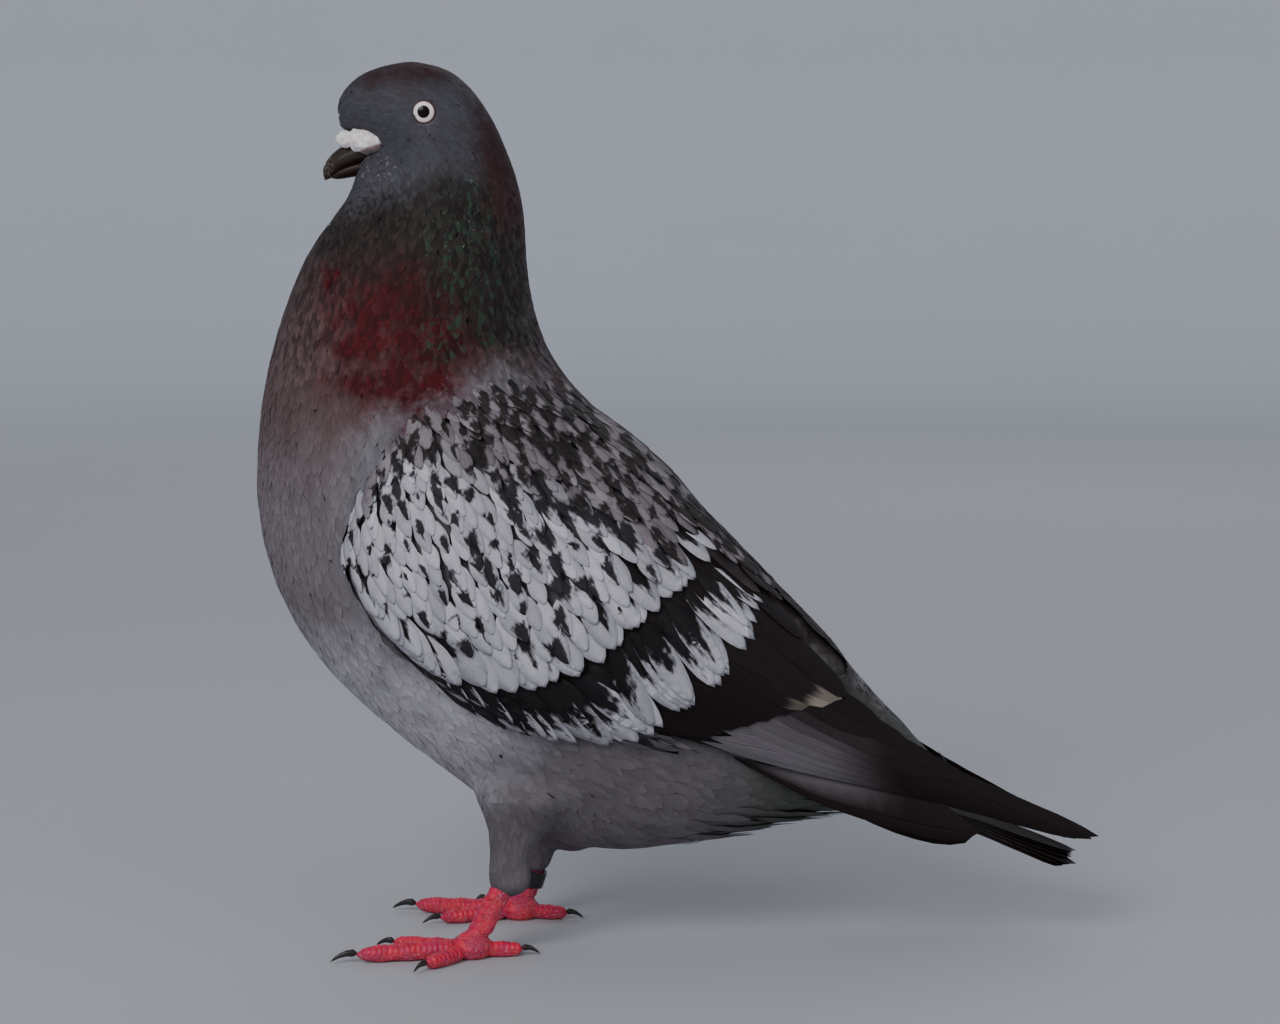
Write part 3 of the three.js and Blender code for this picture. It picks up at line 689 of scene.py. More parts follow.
def spine_place(points):
    """How far along the middle line each point lies, and which way the line runs there."""
    flat = points[:, [0, 2]]
    share = np.clip(((flat[:, None] - SPINE[:-1]) * RUNS).sum(2) / SPANS**2, 0, 1)
    near = SPINE[:-1] + share[..., None] * RUNS
    away = np.linalg.norm(flat[:, None] - near, axis=2)
    weight = 1 / (away**2 + 12.0) ** 2
    weight /= weight.sum(1, keepdims=True)
    aim = (weight[..., None] * (RUNS / SPANS[:, None])).sum(1)
    return ((REACHED[:-1] + share * SPANS) * weight).sum(1), unit(np.insert(aim, 1, 0, axis=1))


def body_lie(points):
    """The way body feathers point: along the middle line, and down the thighs."""
    legs = smooth(-points[:, 2], -52, -40) * smooth(points[:, 0], -62, -50) * smooth(-points[:, 0], 8, 18)
    return unit(spine_place(points)[1] * (1 - legs[:, None]) + np.array([0, 0, -1]) * legs[:, None])


# Angle of the wing feathers below the horizontal, at places x, z on the folded wing.
WING_LIE = np.array([(-77, 130, 76), (-64, 148, 66), (-53, 136, 66), (-64, 104, 66), (-37, 104, 66), (-51, 87, 58),
                     (-32, 135, 60), (-21, 76, 54), (-11, 104, 60), (-11, 137, 50), (3, 116, 55), (16, 92, 57),
                     (0, 79, 57), (33, 100, 46), (41, 87, 40), (22, 64, 30), (40, 72, 24), (58, 62, 17), (86, 50, 19),
                     (115, 34, 22), (5, 133, 45), (27, 111, 47), (60, 84, 42)], float)


def wing_lie(points):
    """The way wing feathers point, in the side view."""
    away = np.linalg.norm(points[:, None, [0, 2]] - WING_LIE[:, :2], axis=2)
    weight = 1 / (away**2 + 30.0) ** 1.5
    angle = np.radians((weight * WING_LIE[:, 2]).sum(1) / weight.sum(1))
    return np.stack([np.cos(angle), 0 * angle, -np.sin(angle)], 1)


# ---------------------------------------------------------------- vanes
class Blade:
    """A closed leaf made from a ball: where its points sit along, across and up, and its faces."""

    def __init__(self, sides, rings, crowd=1.3):
        bm = bmesh.new()
        bmesh.ops.create_uvsphere(bm, u_segments=sides, v_segments=rings, radius=1.0)
        bm.verts.index_update()
        co = np.array([v.co for v in bm.verts])
        around = np.arctan2(co[:, 1], co[:, 0])
        pole = np.abs(co[:, 2]) > 0.9999
        down = np.arccos(np.clip(co[:, 2], -1, 1)) / math.pi
        self.level = rings - np.round(down * rings).astype(int)  # the ball's top is the tip
        self.stations = 1 - (1 - np.arange(rings + 1) / rings) ** crowd
        self.along = self.stations[self.level]
        self.across, self.up = (np.where(pole, 0, np.round(way(around), 6)) for way in (np.cos, np.sin))
        faces = [[v.index for v in f.verts] for f in bm.faces]
        self.loops = np.concatenate(faces)
        self.starts = np.cumsum([0] + [len(f) for f in faces[:-1]])
        edge = pole | (np.abs(np.abs(self.across) - 1) < 1e-3)
        self.rim = np.zeros((len(co), len(co)), bool)
        for e in bm.edges:
            a, b = (v.index for v in e.verts)
            self.rim[a, b] = self.rim[b, a] = edge[a] and edge[b]
        bm.free()


def tangent(aims, normals):
    return unit(aims - (aims * normals).sum(1, keepdims=True) * normals)


def swung(aims, normals, by, rng):
    """Aims along the surface, each turned a little to one side."""
    aims = tangent(aims, normals)
    return unit(aims + np.cross(aims, normals) * (by * rng.standard_normal(len(aims)))[:, None])


# Half widths of a feather along its length, as shares.
SOFT = ((0, 0.3), (0.2, 0.7), (0.45, 1.0), (0.6, 1.0), (0.8, 0.72), (0.93, 0.36), (1, 0.1))
QUILL = ((0, 0.25), (0.1, 0.6), (0.3, 0.95), (0.7, 1.0), (0.88, 0.82), (0.96, 0.52), (1, 0.15))
TIP = ((0, 0.3), (0.2, 0.7), (0.45, 1.0), (0.64, 0.97), (0.8, 0.78), (0.9, 0.5), (0.96, 0.28), (1, 0.08))
HANGING = ((0, 0.12), (0.3, 0.42), (0.7, 0.9), (0.86, 1.0), (0.94, 0.8), (0.985, 0.5), (1, 0.15))


def lay(surface, blade, roots, aims, reach, half, profile, thick, low, high, arch=0.0, keel=0.0, steer=None,
        share=0.0):
    """Lays one leaf from each root over the surface and returns the points of every leaf.
    reach, half and the lifts low and high, of root and tip, are per leaf; steer gives the way to turn to."""
    place, normal = surface.snap(roots)
    aim = tangent(aims, normal)
    widths = trace(profile, blade.stations)
    out = np.zeros((len(roots), len(blade.along), 3))
    for k, station in enumerate(blade.stations):
        if k:
            stride = reach * (station - blade.stations[k - 1])
            place, normal = surface.snap(place + aim * stride[:, None])
            aim = tangent(aim, normal)
            if steer is not None:
                aim = tangent(aim * (1 - share) + steer(place) * share, normal)
        side = np.cross(aim, normal)
        lift = low + (high - low) * station**0.8
        here = np.where(blade.level == k)[0]
        for c in np.unique(blade.across[here]):
            middle = abs(c) < 1e-6
            spot = place if middle else surface.snap(place + side * (half * widths[k] * c)[:, None])[0]
            body = thick * widths[k] ** 0.5 + (keel * (1 - station) ** 0.5 if middle else 0)
            for v in here[blade.across[here] == c]:
                out[:, v] = spot + normal * (lift + body * blade.up[v] - arch * half * c * c)[:, None]
    return out


def vane_marks(blade, reach, half, tint, seed):
    """What the finishes read: place on the leaf as shares and in millimetres, and numbers of its own."""
    def table(across, along, own):
        return np.stack(np.broadcast_arrays(across, along, own[:, None]), 2)
    return {"spot": table(blade.across, blade.along, tint),
            "vane": table(blade.across * half[:, None], blade.along * reach[:, None], seed)}


def joined_vanes(name, blade, points, marks, patches, patch, finish):
    """Every leaf in one mesh, with its marks as attributes and its patch on the bake map."""
    count, per = points.shape[:2]
    order = np.arange(count)[:, None]
    mesh = bpy.data.meshes.new(name)
    mesh.vertices.add(count * per)
    mesh.vertices.foreach_set("co", to_frame(points).ravel())
    mesh.loops.add(count * len(blade.loops))
    mesh.loops.foreach_set("vertex_index", (blade.loops + order * per).ravel())
    mesh.polygons.add(count * len(blade.starts))
    mesh.polygons.foreach_set("loop_start", (blade.starts + order * len(blade.loops)).ravel())
    mesh.update(calc_edges=True)
    mesh.polygons.foreach_set("use_smooth", np.ones(len(mesh.polygons), bool))
    ends = np.empty(len(mesh.edges) * 2, np.int32)
    mesh.edges.foreach_get("vertices", ends)
    first, second = ends.reshape(-1, 2).T % per
    mesh.attributes.new("sharp_edge", "BOOLEAN", "EDGE").data.foreach_set("value", blade.rim[first, second])
    for key, values in marks.items():
        store(mesh, key, values)
    leaf = np.stack([blade.across * 0.5, blade.along - 0.5], 1)[blade.loops]
    uv = patches[:, None] + leaf * patch
    mesh.uv_layers.new(name="OFBake").uv.foreach_set("vector", uv.astype(np.float32).ravel())
    return piece(name, mesh, finish)


def scatter(corners, gap, rng, tries=4.0):
    """Even places on a surface of triangles, no two nearer than the gap there."""
    area = np.linalg.norm(np.cross(corners[:, 1] - corners[:, 0], corners[:, 2] - corners[:, 0]), axis=1) / 2
    weight = area / gap(corners.mean(1)) ** 2
    number = int(weight.sum() * tries)
    pick = rng.choice(len(area), number, p=weight / weight.sum())
    u, v = rng.random((2, number))
    u, v = np.where(u + v > 1, (1 - u, 1 - v), (u, v))
    a, b, c = corners[pick].transpose(1, 0, 2)
    points = a + (b - a) * u[:, None] + (c - a) * v[:, None]
    return points[spaced(points, gap(points))]


def spaced(points, gaps):
    """Which points stay when each keeps its gap from those before it."""
    keys = np.floor(points / gaps.max()).astype(int)
    around = [(i, j, k) for i in (-1, 0, 1) for j in (-1, 0, 1) for k in (-1, 0, 1)]
    grid, kept = {}, []
    for n, (p, g, key) in enumerate(zip(points.tolist(), (gaps**2).tolist(), keys.tolist())):
        near = (q for i, j, k in around for q in grid.get((key[0] + i, key[1] + j, key[2] + k), ()))
        if all((p[0] - q[0]) ** 2 + (p[1] - q[1]) ** 2 + (p[2] - q[2]) ** 2 >= g for q in near):
            grid.setdefault(tuple(key), []).append(p)
            kept.append(n)
    return np.array(kept)


def filled(uv):
    """Places spread over the whole bake map inside a narrow margin."""
    low, high = uv.min(0), uv.max(0)
    return 0.02 + 0.96 * (uv - low) / np.maximum(high - low, 1e-6)


def unwrap(points):
    """A place on a flat unwrap of the body for each root: round the middle line, and along it."""
    along, aim = spine_place(points)
    dx, dz = (points[:, axis] - np.interp(along, REACHED, line) for axis, line in zip((0, 2), SPINE.T))
    return filled(np.stack([np.arctan2(points[:, 1], dz * aim[:, 0] - dx * aim[:, 2]), along], 1))


def parted(flat, gap, rounds=120):
    """Patches moved just far enough apart on the bake map to share no place."""
    for _ in range(rounds):
        away = flat[:, None] - flat
        short = gap - np.abs(away)
        meets = (short > 0).all(2) & ~np.eye(len(flat), dtype=bool)
        nearer = short == short.min(2, keepdims=True)
        flat = np.clip(flat + 0.3 * np.where(meets[..., None] & nearer, short * np.sign(away), 0).sum(1), 0.02, 0.98)
    return flat


# Distance between body feathers, along the middle line.
BODY_GAP = ((0, 0.62), (20, 0.76), (48, 0.95), (75, 1.1), (110, 1.3), (150, 1.5), (200, 1.65), (260, 1.85), (340, 2.2))


def body_gap(points):
    legs = smooth(-points[:, 2], -56, -42) * smooth(-points[:, 0], 8, 18)
    return trace(BODY_GAP, spine_place(points)[0]) * (1 - 0.35 * legs)


def coat_depth(points):
    """Depth of the coat over the skin, in millimetres."""
    face, trunk = sizes().face_depth / MM, sizes().coat_depth / MM
    depth = np.interp(spine_place(points)[0], (0, 24, 50, 80, 150, 340),
                      (face, face * 1.3, face * 1.9, trunk * 0.75, trunk, trunk * 0.9))
    return depth * (1 - 0.4 * smooth(-points[:, 2], -48, -34))


# ---------------------------------------------------------------- operators
CAMERA, LENS, SENSOR, TILT = (OFFSET * MM, -0.75, 0.2), 75.35, 36.0, 5.9  # place, millimetres, degrees down
LIGHTS = (  # place, what it points at, size and power
    ("key", (-0.7, -1.3, 1.0), (-0.02, 0, 0.13), 0.9, 16.0),
    ("fill", (1.2, -1.0, 0.6), (0.0, 0, 0.12), 1.2, 4.0),
    ("back", (0.3, 1.3, 1.1), (0.0, 0, 0.15), 1.0, 2.5),
)
SWEEP = ((0, 0), (2.6, 0), (3.1, 0.05), (3.5, 0.2), (3.8, 0.5), (3.9, 0.9), (3.9, 2.2))  # radius and height


class PIGEON_OT_stage(bpy.types.Operator):
    """Set the pale floor and backdrop, the soft lights and the camera"""

    bl_idname = "pigeon.stage"
    bl_label = "Studio"

    def execute(self, context):
        f = Finish("pale_studio_paper", 0.9, 0.1)
        # the paper grows lighter towards the far backdrop: painted light where the lamps reach it less
        far = f.node("ShaderNodeVectorMath", {0: f.where}, 1, operation="LENGTH").ramp(0.6, 3.6)
        paper = f.blend(far, (180, 181, 186), (236, 238, 244))
        f.put(f.shader, "Base Color", f.shade(paper, f.noise(f.where, 3.0, 3.0) * 0.03 + 0.985))
        bm = bmesh.new()
        line = [bm.verts.new((r, 0, z)) for r, z in SWEEP]
        edges = [bm.edges.new(pair) for pair in zip(line, line[1:])]
        bmesh.ops.spin(bm, geom=edges, cent=(0, 0, 0), axis=(0, 0, 1), angle=math.tau, steps=72, use_merge=True)
        bmesh.ops.remove_doubles(bm, verts=bm.verts, dist=1e-5)
        bmesh.ops.recalc_face_normals(bm, faces=bm.faces)
        bmesh.ops.reverse_faces(bm, faces=bm.faces)
        floor = rounded("studio_floor", bm, f.material)
        world = bpy.data.worlds.new("studio")
        world.use_nodes = True
        sky = world.node_tree.nodes["Background"]
        sky.inputs[0].default_value, sky.inputs[1].default_value = (0.78, 0.82, 0.9, 1), 0.5
        context.scene.world = world
        for name, spot, aim, size, power in LIGHTS:
            lamp = bpy.data.lights.new(name, "AREA")
            lamp.shape, lamp.size, lamp.energy = "DISK", size, power
            turn = (Vector(aim) - Vector(spot)).to_track_quat("-Z", "Y").to_euler()
            self.held(context, lamp, spot, turn)
        view = bpy.data.cameras.new("camera")
        view.lens, view.sensor_width = LENS, SENSOR
        context.scene.camera = self.held(context, view, CAMERA, (math.radians(90 - TILT), 0, 0))
        return {"FINISHED"}

    def held(self, context, data, spot, turn):
        holder = bpy.data.objects.new(data.name, data)
        holder.location, holder.rotation_euler = spot, turn
        context.scene.collection.objects.link(holder)
        return holder


UNDER_WING, UNDER_BACK = 3.2, 1.4  # how far the skin keeps under the wings' faces and the back's feathers


class PIGEON_OT_skin(bpy.types.Operator):
    """Fuse the flesh into one skin that lies inside the coat, with the bare scaly legs joined on"""

    bl_idname = "pigeon.skin"
    bl_label = "Skin"

    def execute(self, context):
        voxel = sizes().skin_voxel
        bm = fused(node_shell(FLESH, SHELL_GROW), voxel, 6)
        ease(bm, *THIGH_FOLDS)
        points = to_bird([v.co for v in bm.verts])
        coverts = gaps_to(tree_of(COVERTS), points)
        outer = smooth(np.abs([v.normal.y for v in bm.verts]), 0.4, 0.8)
        depth = (coat_depth(points) + 1.6 * outer * smooth(-coverts, -5.0, -1.5)) * MM
        for v, d in zip(bm.verts, depth.tolist()):
            v.co -= v.normal * d
        points = to_bird([v.co for v in bm.verts])
        rises = np.zeros_like(points)
        for side, sign in SIDES.items():  # under the coverts the skin keeps well inside the wing's face
            face = flank(side)
            room = face.look(face.field, points) - UNDER_WING - points[:, 1] * sign
            inside = (face.covers(points) > 0.3) & (coverts < 6) & (room < 0) & (points[:, 1] * sign > 8)
            rises[inside, 1] = sign * room[inside]
        for n, (v, (x, y, z)) in enumerate(zip(bm.verts, points.tolist())):
            if v.normal.z > 0.1 and x > 5 and abs(y) < 16:  # between the wings it comes up under the back's feathers
                hit = outside().tree.ray_cast((x, y, 200), (0, 0, -1))[0]
                if hit is not None and 0 < hit[2] - z < 14:
                    rises[n, 2] = max(hit[2] - UNDER_BACK - z, 0) * smooth(-abs(y), -16, -12) * smooth(x, 5, 20)
            v.co += Vector(rises[n]) * MM
        skin = rounded("skin", fused(bm, voxel, 3), under_finish())
        for side in SIDES:
            leg = bare_leg(side)
            with bpy.context.temp_override(active_object=skin, object=skin, selected_objects=[skin, leg],
                                           selected_editable_objects=[skin, leg]):
                bpy.ops.object.join()
        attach(skin, "root")
        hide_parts(*FLESH, *[f"{part}_{side}" for side in SIDES
                                    for part in ("tarsus", *[f"toe_{t}" for t in TOES])])
        return {"FINISHED"}


SHANK_PLATE, TOE_PLATE, PLATE_RISE = 2.1, 1.55, 0.22  # lengths and height of the scaly plates


def long_axis(name):
    """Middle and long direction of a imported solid, in the bird's millimetres."""
    co = to_bird([v.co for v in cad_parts[name].data.vertices])
    return co.mean(0), np.linalg.svd(co - co.mean(0), full_matrices=False)[2][0]


def bare_leg(side):
    """The bare shank and foot of one side as one shell, with raised plates down the front and along the toes."""
    names = [f"tarsus_{side}"] + [f"toe_{t}_{side}" for t in TOES]
    bm = fused(node_shell(names, 0.00022), sizes().foot_voxel, 4)
    points, normals = to_bird([v.co for v in bm.verts]), np.array([v.normal for v in bm.verts])
    whose = np.stack([gaps_to(tree_of([n]), points) for n in names]).argmin(0)
    plate = np.zeros((len(points), 3))  # how many plates along, and how much it faces the plates' side
    for n, name in enumerate(names):
        mine = whose == n
        if name.startswith("tarsus"):
            along, front = points[mine, 2] * 1.04 / SHANK_PLATE, smooth(-normals[mine, 0], 0.1, 0.5)
        else:
            middle, axis = long_axis(name)
            axis = axis * np.sign(axis[0] if "hallux" in name else -axis[0])
            along, front = (points[mine] - middle) @ axis / TOE_PLATE, smooth(normals[mine, 2], 0.05, 0.4)
        plate[mine, 0], plate[mine, 1] = along, front
    rise = plate[:, 1] * (np.abs(np.sin(math.pi * plate[:, 0])) ** 0.6 - 0.5) * PLATE_RISE * MM
    for v, r in zip(bm.verts, rise.tolist()):
        v.co += v.normal * r
    bm.normal_update()
    flat_soles(bm)
    leg = rounded(f"leg_{side}", bm, leg_finish())
    store(leg.data, "plate", plate)
    return leg


def flat_soles(bm):
    for v in bm.verts:
        v.co.z = max(v.co.z, 0.0)


class PIGEON_OT_coat(bpy.types.Operator):
    """Cover the head, neck, breast, belly, back and thighs with small overlapping feathers"""

    bl_idname = "pigeon.coat"
    bl_label = "Body feathers"

    def execute(self, context):
        rng = np.random.default_rng(11)
        surface = outside()
        middles = surface.corners.mean(1)
        wings = tree_of([f"{n}_{side}" for n in WING_NODES for side in SIDES])
        ours = gaps_to(tree_of(BODY), middles) < gaps_to(wings, middles) + 0.2
        ours |= (middles[:, 0] > 8) & (np.abs(middles[:, 1]) < 13) & (surface.normals[:, 2] > 0.1)
        roots = scatter(surface.corners[ours], body_gap, rng)
        bill = tree_of(["bill_upper", "bill_lower", "cere_left", "cere_right"])
        eye = np.hypot(roots[:, 0] - EYE_ALONG, roots[:, 2] - EYE_Z)
        clear = (gaps_to(bill, roots) > BILL_BARE) & ~((eye < EYE_BARE) & (roots[:, 2] > FACE_Z))
        roots, eye = roots[clear], eye[clear]
        (x, y, z), count, gap, along = roots.T, len(roots), body_gap(roots), spine_place(roots)[0]
        reach = gap * np.interp(along, (0, 60, 120, 200, 300), (4.2, 5.2, 5.6, 6.0, 6.6))
        reach *= 1 + 0.12 * bell(rng, count, 2)
        reach *= np.where((z > THROAT_Z) & (x < EYE_ALONG + 0.5), np.clip((eye - 3.0) / 4.5, 0.25, 1), 1.0)
        half = gap * np.interp(along, (0, 60, 200), (0.9, 0.93, 0.95)) * (1 + 0.1 * bell(rng, count))
        normal = surface.snap(roots)[1]
        aims = swung(body_lie(roots), normal, 0.13, rng)
        lift = 0.03 * bell(rng, count, 2) * gap
        loose = smooth(x, 0, 20) * smooth(-normal[:, 2], 0.35, 0.8) * (rng.random(count) < 0.55)
        loose *= smooth(-z, -66, -58) * smooth(-np.abs(y), -26, -20)  # ends under the belly and the tail
        reach *= 1 + 0.5 * loose
        lift += loose * rng.random(count) ** 1.5 * 3.2
        blade = Blade(4, 4)
        points = lay(surface, blade, roots, aims, reach, half, SOFT, sizes().vane_thick / MM, -coat_depth(roots) * 0.4,
                     lift - 0.1, arch=0.02, steer=body_lie, share=0.25)
        marks = vane_marks(blade, reach, half, rng.random(count), rng.random(count) * 500)
        finish, patches, left = coat_finish(), unwrap(roots), np.ones(count, bool)
        for part, slot, here in (
            ("head", "head_plumage", along < 62), ("neck", "neck_plumage", along < 112),
            ("thigh", "body_plumage", (z < 54) & (x < -8)),
            ("back", "body_plumage", (normal[:, 2] > 0.1) & (x > -62) & (along > 125)),
            ("breast", "body_plumage", along < 175), ("belly", "body_plumage", along > 0),
        ):
            mine = left & here
            left &= ~here
            made = joined_vanes(f"{part}_feathers", blade, points[mine], {k: v[mine] for k, v in marks.items()},
                                filled(patches[mine]), sizes().patch, finish)
            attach(made, "root")
        return {"FINISHED"}


# Lines on the folded wing, x and z, front to back: lower ends of the two long covert rows, the edge of the plain
# mantle, and the edge of the shoulder feathers.
GREAT_TIPS = ((-54, 83.3), (-46, 77), (-37.5, 71), (-29.6, 67.5), (-20, 65.8), (-10.7, 64.4), (2.7, 64), (8.8, 71),
              (14.9, 75.3), (21.3, 79.6), (27.4, 87.7), (31.8, 95.8), (34, 101.5))
MIDDLE_TIPS = ((-70, 101), (-62, 92.5), (-54, 84.5), (-46, 79), (-40, 79.3), (-33.5, 80.5), (-21.2, 81.7),
               (-11.7, 85.7), (-5.3, 91.9), (0, 97.3), (5.3, 100.7), (13.2, 106.6), (16.4, 110.1), (22.7, 115.5))
MANTLE_EDGE = ((-72, 155), (-61, 147), (-52.6, 142.5), (-44, 139.5), (-25.5, 135.5), (-14.5, 128), (-3.7, 121.5),
               (8.7, 112.5), (14.8, 107.5), (30, 100), (60, 84))
SCAPULAR_EDGE = ((-73, 136), (-70.5, 142), (-66.4, 150), (-61, 156), (-51, 161), (-40, 163.5), (-30, 164), (-22, 163),
                 (-10, 158), (10, 146), (32, 124))
# A small dark mark: length and half width, how far it runs up from its middle, and the slope of its sides.
MARK_LONG, MARK_HALF, MARK_TOP, WEDGE = 5.8, 1.9, 0.8, 0.75
COVERT_PATCH, PATCH_GAP = 0.026, 0.0272  # width of a covert's patch on the bake map, and the room that it has
SAG = {"left": 0.0, "right": 3.0}  # the far wing hangs a little lower at its back
# How far along the long coverts their dark marks reach, by x.
WHITE = ((-32, 1.15), (-22, 0.98), (-5, 0.76), (8, 0.72), (20, 0.74), (34, 0.84))
SECOND = ((-60, 0.74), (-30, 0.6), (-10, 0.76), (20, 0.86))
THIRD = ((-60, 0.7), (-30, 0.5), (-10, 0.72), (20, 0.82))
# Rows of long coverts: tips, how many, length, half width, size of the mark, its start, how far it runs, lift of
# root and tip, and how far marks stray aside.
ROWS = ((GREAT_TIPS, 28, 30.0, 4.5, 1.3, WHITE, 0.36, -1.9, -0.75, 0.5),
        (GREAT_TIPS, 24, 30.0, 4.2, 1.1, WHITE, 0.42, -1.8, -0.62, 0.9),
        (MIDDLE_TIPS, 20, 20.0, 4.6, 0.9, SECOND, 0.4, -1.5, -0.4, 1.3),
        (MIDDLE_TIPS, 17, 20.0, 4.6, 0.6, THIRD, 0.4, -1.4, -0.25, 1.4))


def above(line, points):
    """Height of points over a line of x, z places."""
    return points[:, 2] - trace(line, points[:, 0])


def row_places(line, count, rng):
    """Places along a line of x, z points, nearly even."""
    line = np.array(line, float)
    run = np.concatenate([[0], np.cumsum(np.linalg.norm(np.diff(line, axis=0), axis=1))])
    at = (np.arange(count) + 0.5 + 0.4 * (rng.random(count) - 0.5)) / count * run[-1]
    return np.stack([np.interp(at, run, line[:, 0]), 0 * at, np.interp(at, run, line[:, 1])], 1)


def back_from(surface, tips, reach, lie):
    """Roots from which a leaf of this reach ends at each tip."""
    place, normal = surface.snap(tips)
    for _ in range(6):
        place, normal = surface.snap(place - tangent(lie(place), normal) * (reach / 6)[:, None])
    return place


class PIGEON_OT_wings(bpy.types.Operator):
    """Lay the coverts, the bars and the long feathers of both folded wings"""

    bl_idname = "pigeon.wings"
    bl_label = "Wings"

    def execute(self, context):
        coverts, quills = covert_finish(), quill_finish()
        for side in SIDES:
            cover_wing(side, coverts)
            quill_wing(side, quills)
        return {"FINISHED"}


def small_coverts(surface, rng):
    """Small coverts by even scatter over the wing's face, and the places of the marks that they share."""
    grid = rng.random((26000, 3)) * np.array([125, 0, 110]) + np.array([-84, 0, 52])
    places, normals = surface.snap(grid[surface.covers(grid) > 0.99])
    weight = 1 / np.abs(normals[:, 1]).clip(0.15)
    places = places[np.argsort(rng.exponential(size=len(places)) / weight)]
    gap = np.interp(above(MIDDLE_TIPS, places), (0, 20, 60), (4.4, 3.8, 3.2))
    gap *= np.interp(places[:, 0], (-80, -50, 20), (0.8, 0.95, 1.1))
    mantle = smooth(above(MANTLE_EDGE, places), -5, 7)
    apart = gap * np.interp(places[:, 0], (-80, -50, 20), (1.25, 1.6, 1.75)) * (1 - 0.15 * mantle)
    spots = places[::-1][spaced(places[::-1], apart[::-1])][::-1]
    kept = spaced(places, gap)
    places, gap, mantle = places[kept], gap[kept], mantle[kept]
    reach = gap * 3.1 * (1 + 0.08 * bell(rng, len(gap), 2))
    ends = places + wing_lie(places) * reach[:, None]
    inside = (above(MIDDLE_TIPS, ends) > 4.5 + 2 * bell(rng, len(ends), 1.5)) & (ends[:, 0] < 42)
    places, gap, mantle, reach = places[inside], gap[inside], mantle[inside], reach[inside]
    count = len(places)
    dark = np.clip(mantle + 0.35 * (rng.random(count) - 0.5) * (mantle > 0.02), 0, 1)
    return spots, dict(roots=places, reach=reach, half=gap * 0.72, dark=dark, low=-0.36,
                       high=-0.06 + 0.025 * bell(rng, count, 2), fringe=mantle * rng.random(count))


def scapulars(side, surface, rng):
    """Coverts that carry the same pattern up over the wing's upper rim."""
    skyline = outside().corners.mean(1)
    at, _, upper = surface.rims()
    over = skyline[:, 2] - np.interp(skyline[:, 0], at, upper) > -2.5
    over &= (above(SCAPULAR_EDGE, skyline) < -1) & (skyline[:, 1] * SIDES[side] > 5)
    over &= np.abs(skyline[:, 0] + 20) < 52
    roots = scatter(outside().corners[over], lambda p: np.full(len(p), 3.5), rng)
    count = len(roots)
    return dict(roots=roots, reach=11.0 + rng.random(count), half=2.5, dark=0.85 + 0.15 * rng.random(count),
                low=-0.3, high=0.12 + 0.04 * bell(rng, count), fringe=0.7 * rng.random(count))


def long_coverts(side, surface, rng):
    """The rows of long coverts, each with a dark mark of its own that ends short of its white tip."""
    for line, count, span, half, size, stop, run, low, high, stray in ROWS:
        tips = row_places(line, count, rng)
        tips[:, 2] += rng.standard_normal(count) * 0.6
        tips[:, 2] -= SAG[side] * smooth(tips[:, 0], 25, 95)
        reach = span * (1 + 0.05 * bell(rng, count, 2))
        stop = trace(stop, tips[:, 0])
        yield dict(roots=back_from(surface, tips, reach, wing_lie), reach=reach,
                   half=half * (1 + 0.1 * bell(rng, count, 1.5)), size=size * (0.85 + 0.3 * rng.random(count)),
                   shift=(rng.random(count) - 0.5) * stray, start=stop - run,
                   stop=stop + 0.22 * (rng.random(count) - 0.5), low=low, high=high + 0.1 * bell(rng, count, 1.5))


def shared_marks(points, spots, rng):
    """How deep each point of the small coverts lies inside the nearest mark: above 0 is inside."""
    plain = above(MANTLE_EDGE, spots)
    size = np.interp(above(MIDDLE_TIPS, spots), (0, 20, 60), (1.12, 0.92, 0.82)) * (0.5 + 0.75 * rng.random(len(spots)))
    size *= np.interp(spots[:, 0], (-80, -60, -45, -25), (0.45, 0.55, 0.8, 1)) * (1 + 0.3 * smooth(plain, -22, -3))
    size *= 1 - 0.25 * smooth(plain, 2, 14) - 0.2 * smooth(spots[:, 0], -25, 0)
    away, aim = points[:, :, None] - spots, wing_lie(spots)
    down = (away * aim).sum(-1) / (MARK_LONG * size)
    aside = (away[..., 0] * aim[:, 2] - away[..., 2] * aim[:, 0]) / (MARK_HALF * size)
    deep = np.minimum(WEDGE * (1 - down) - np.abs(aside), (down + MARK_TOP) * 1.5).max(2)
    return deep + 0.12 * rng.standard_normal((len(points), 1))


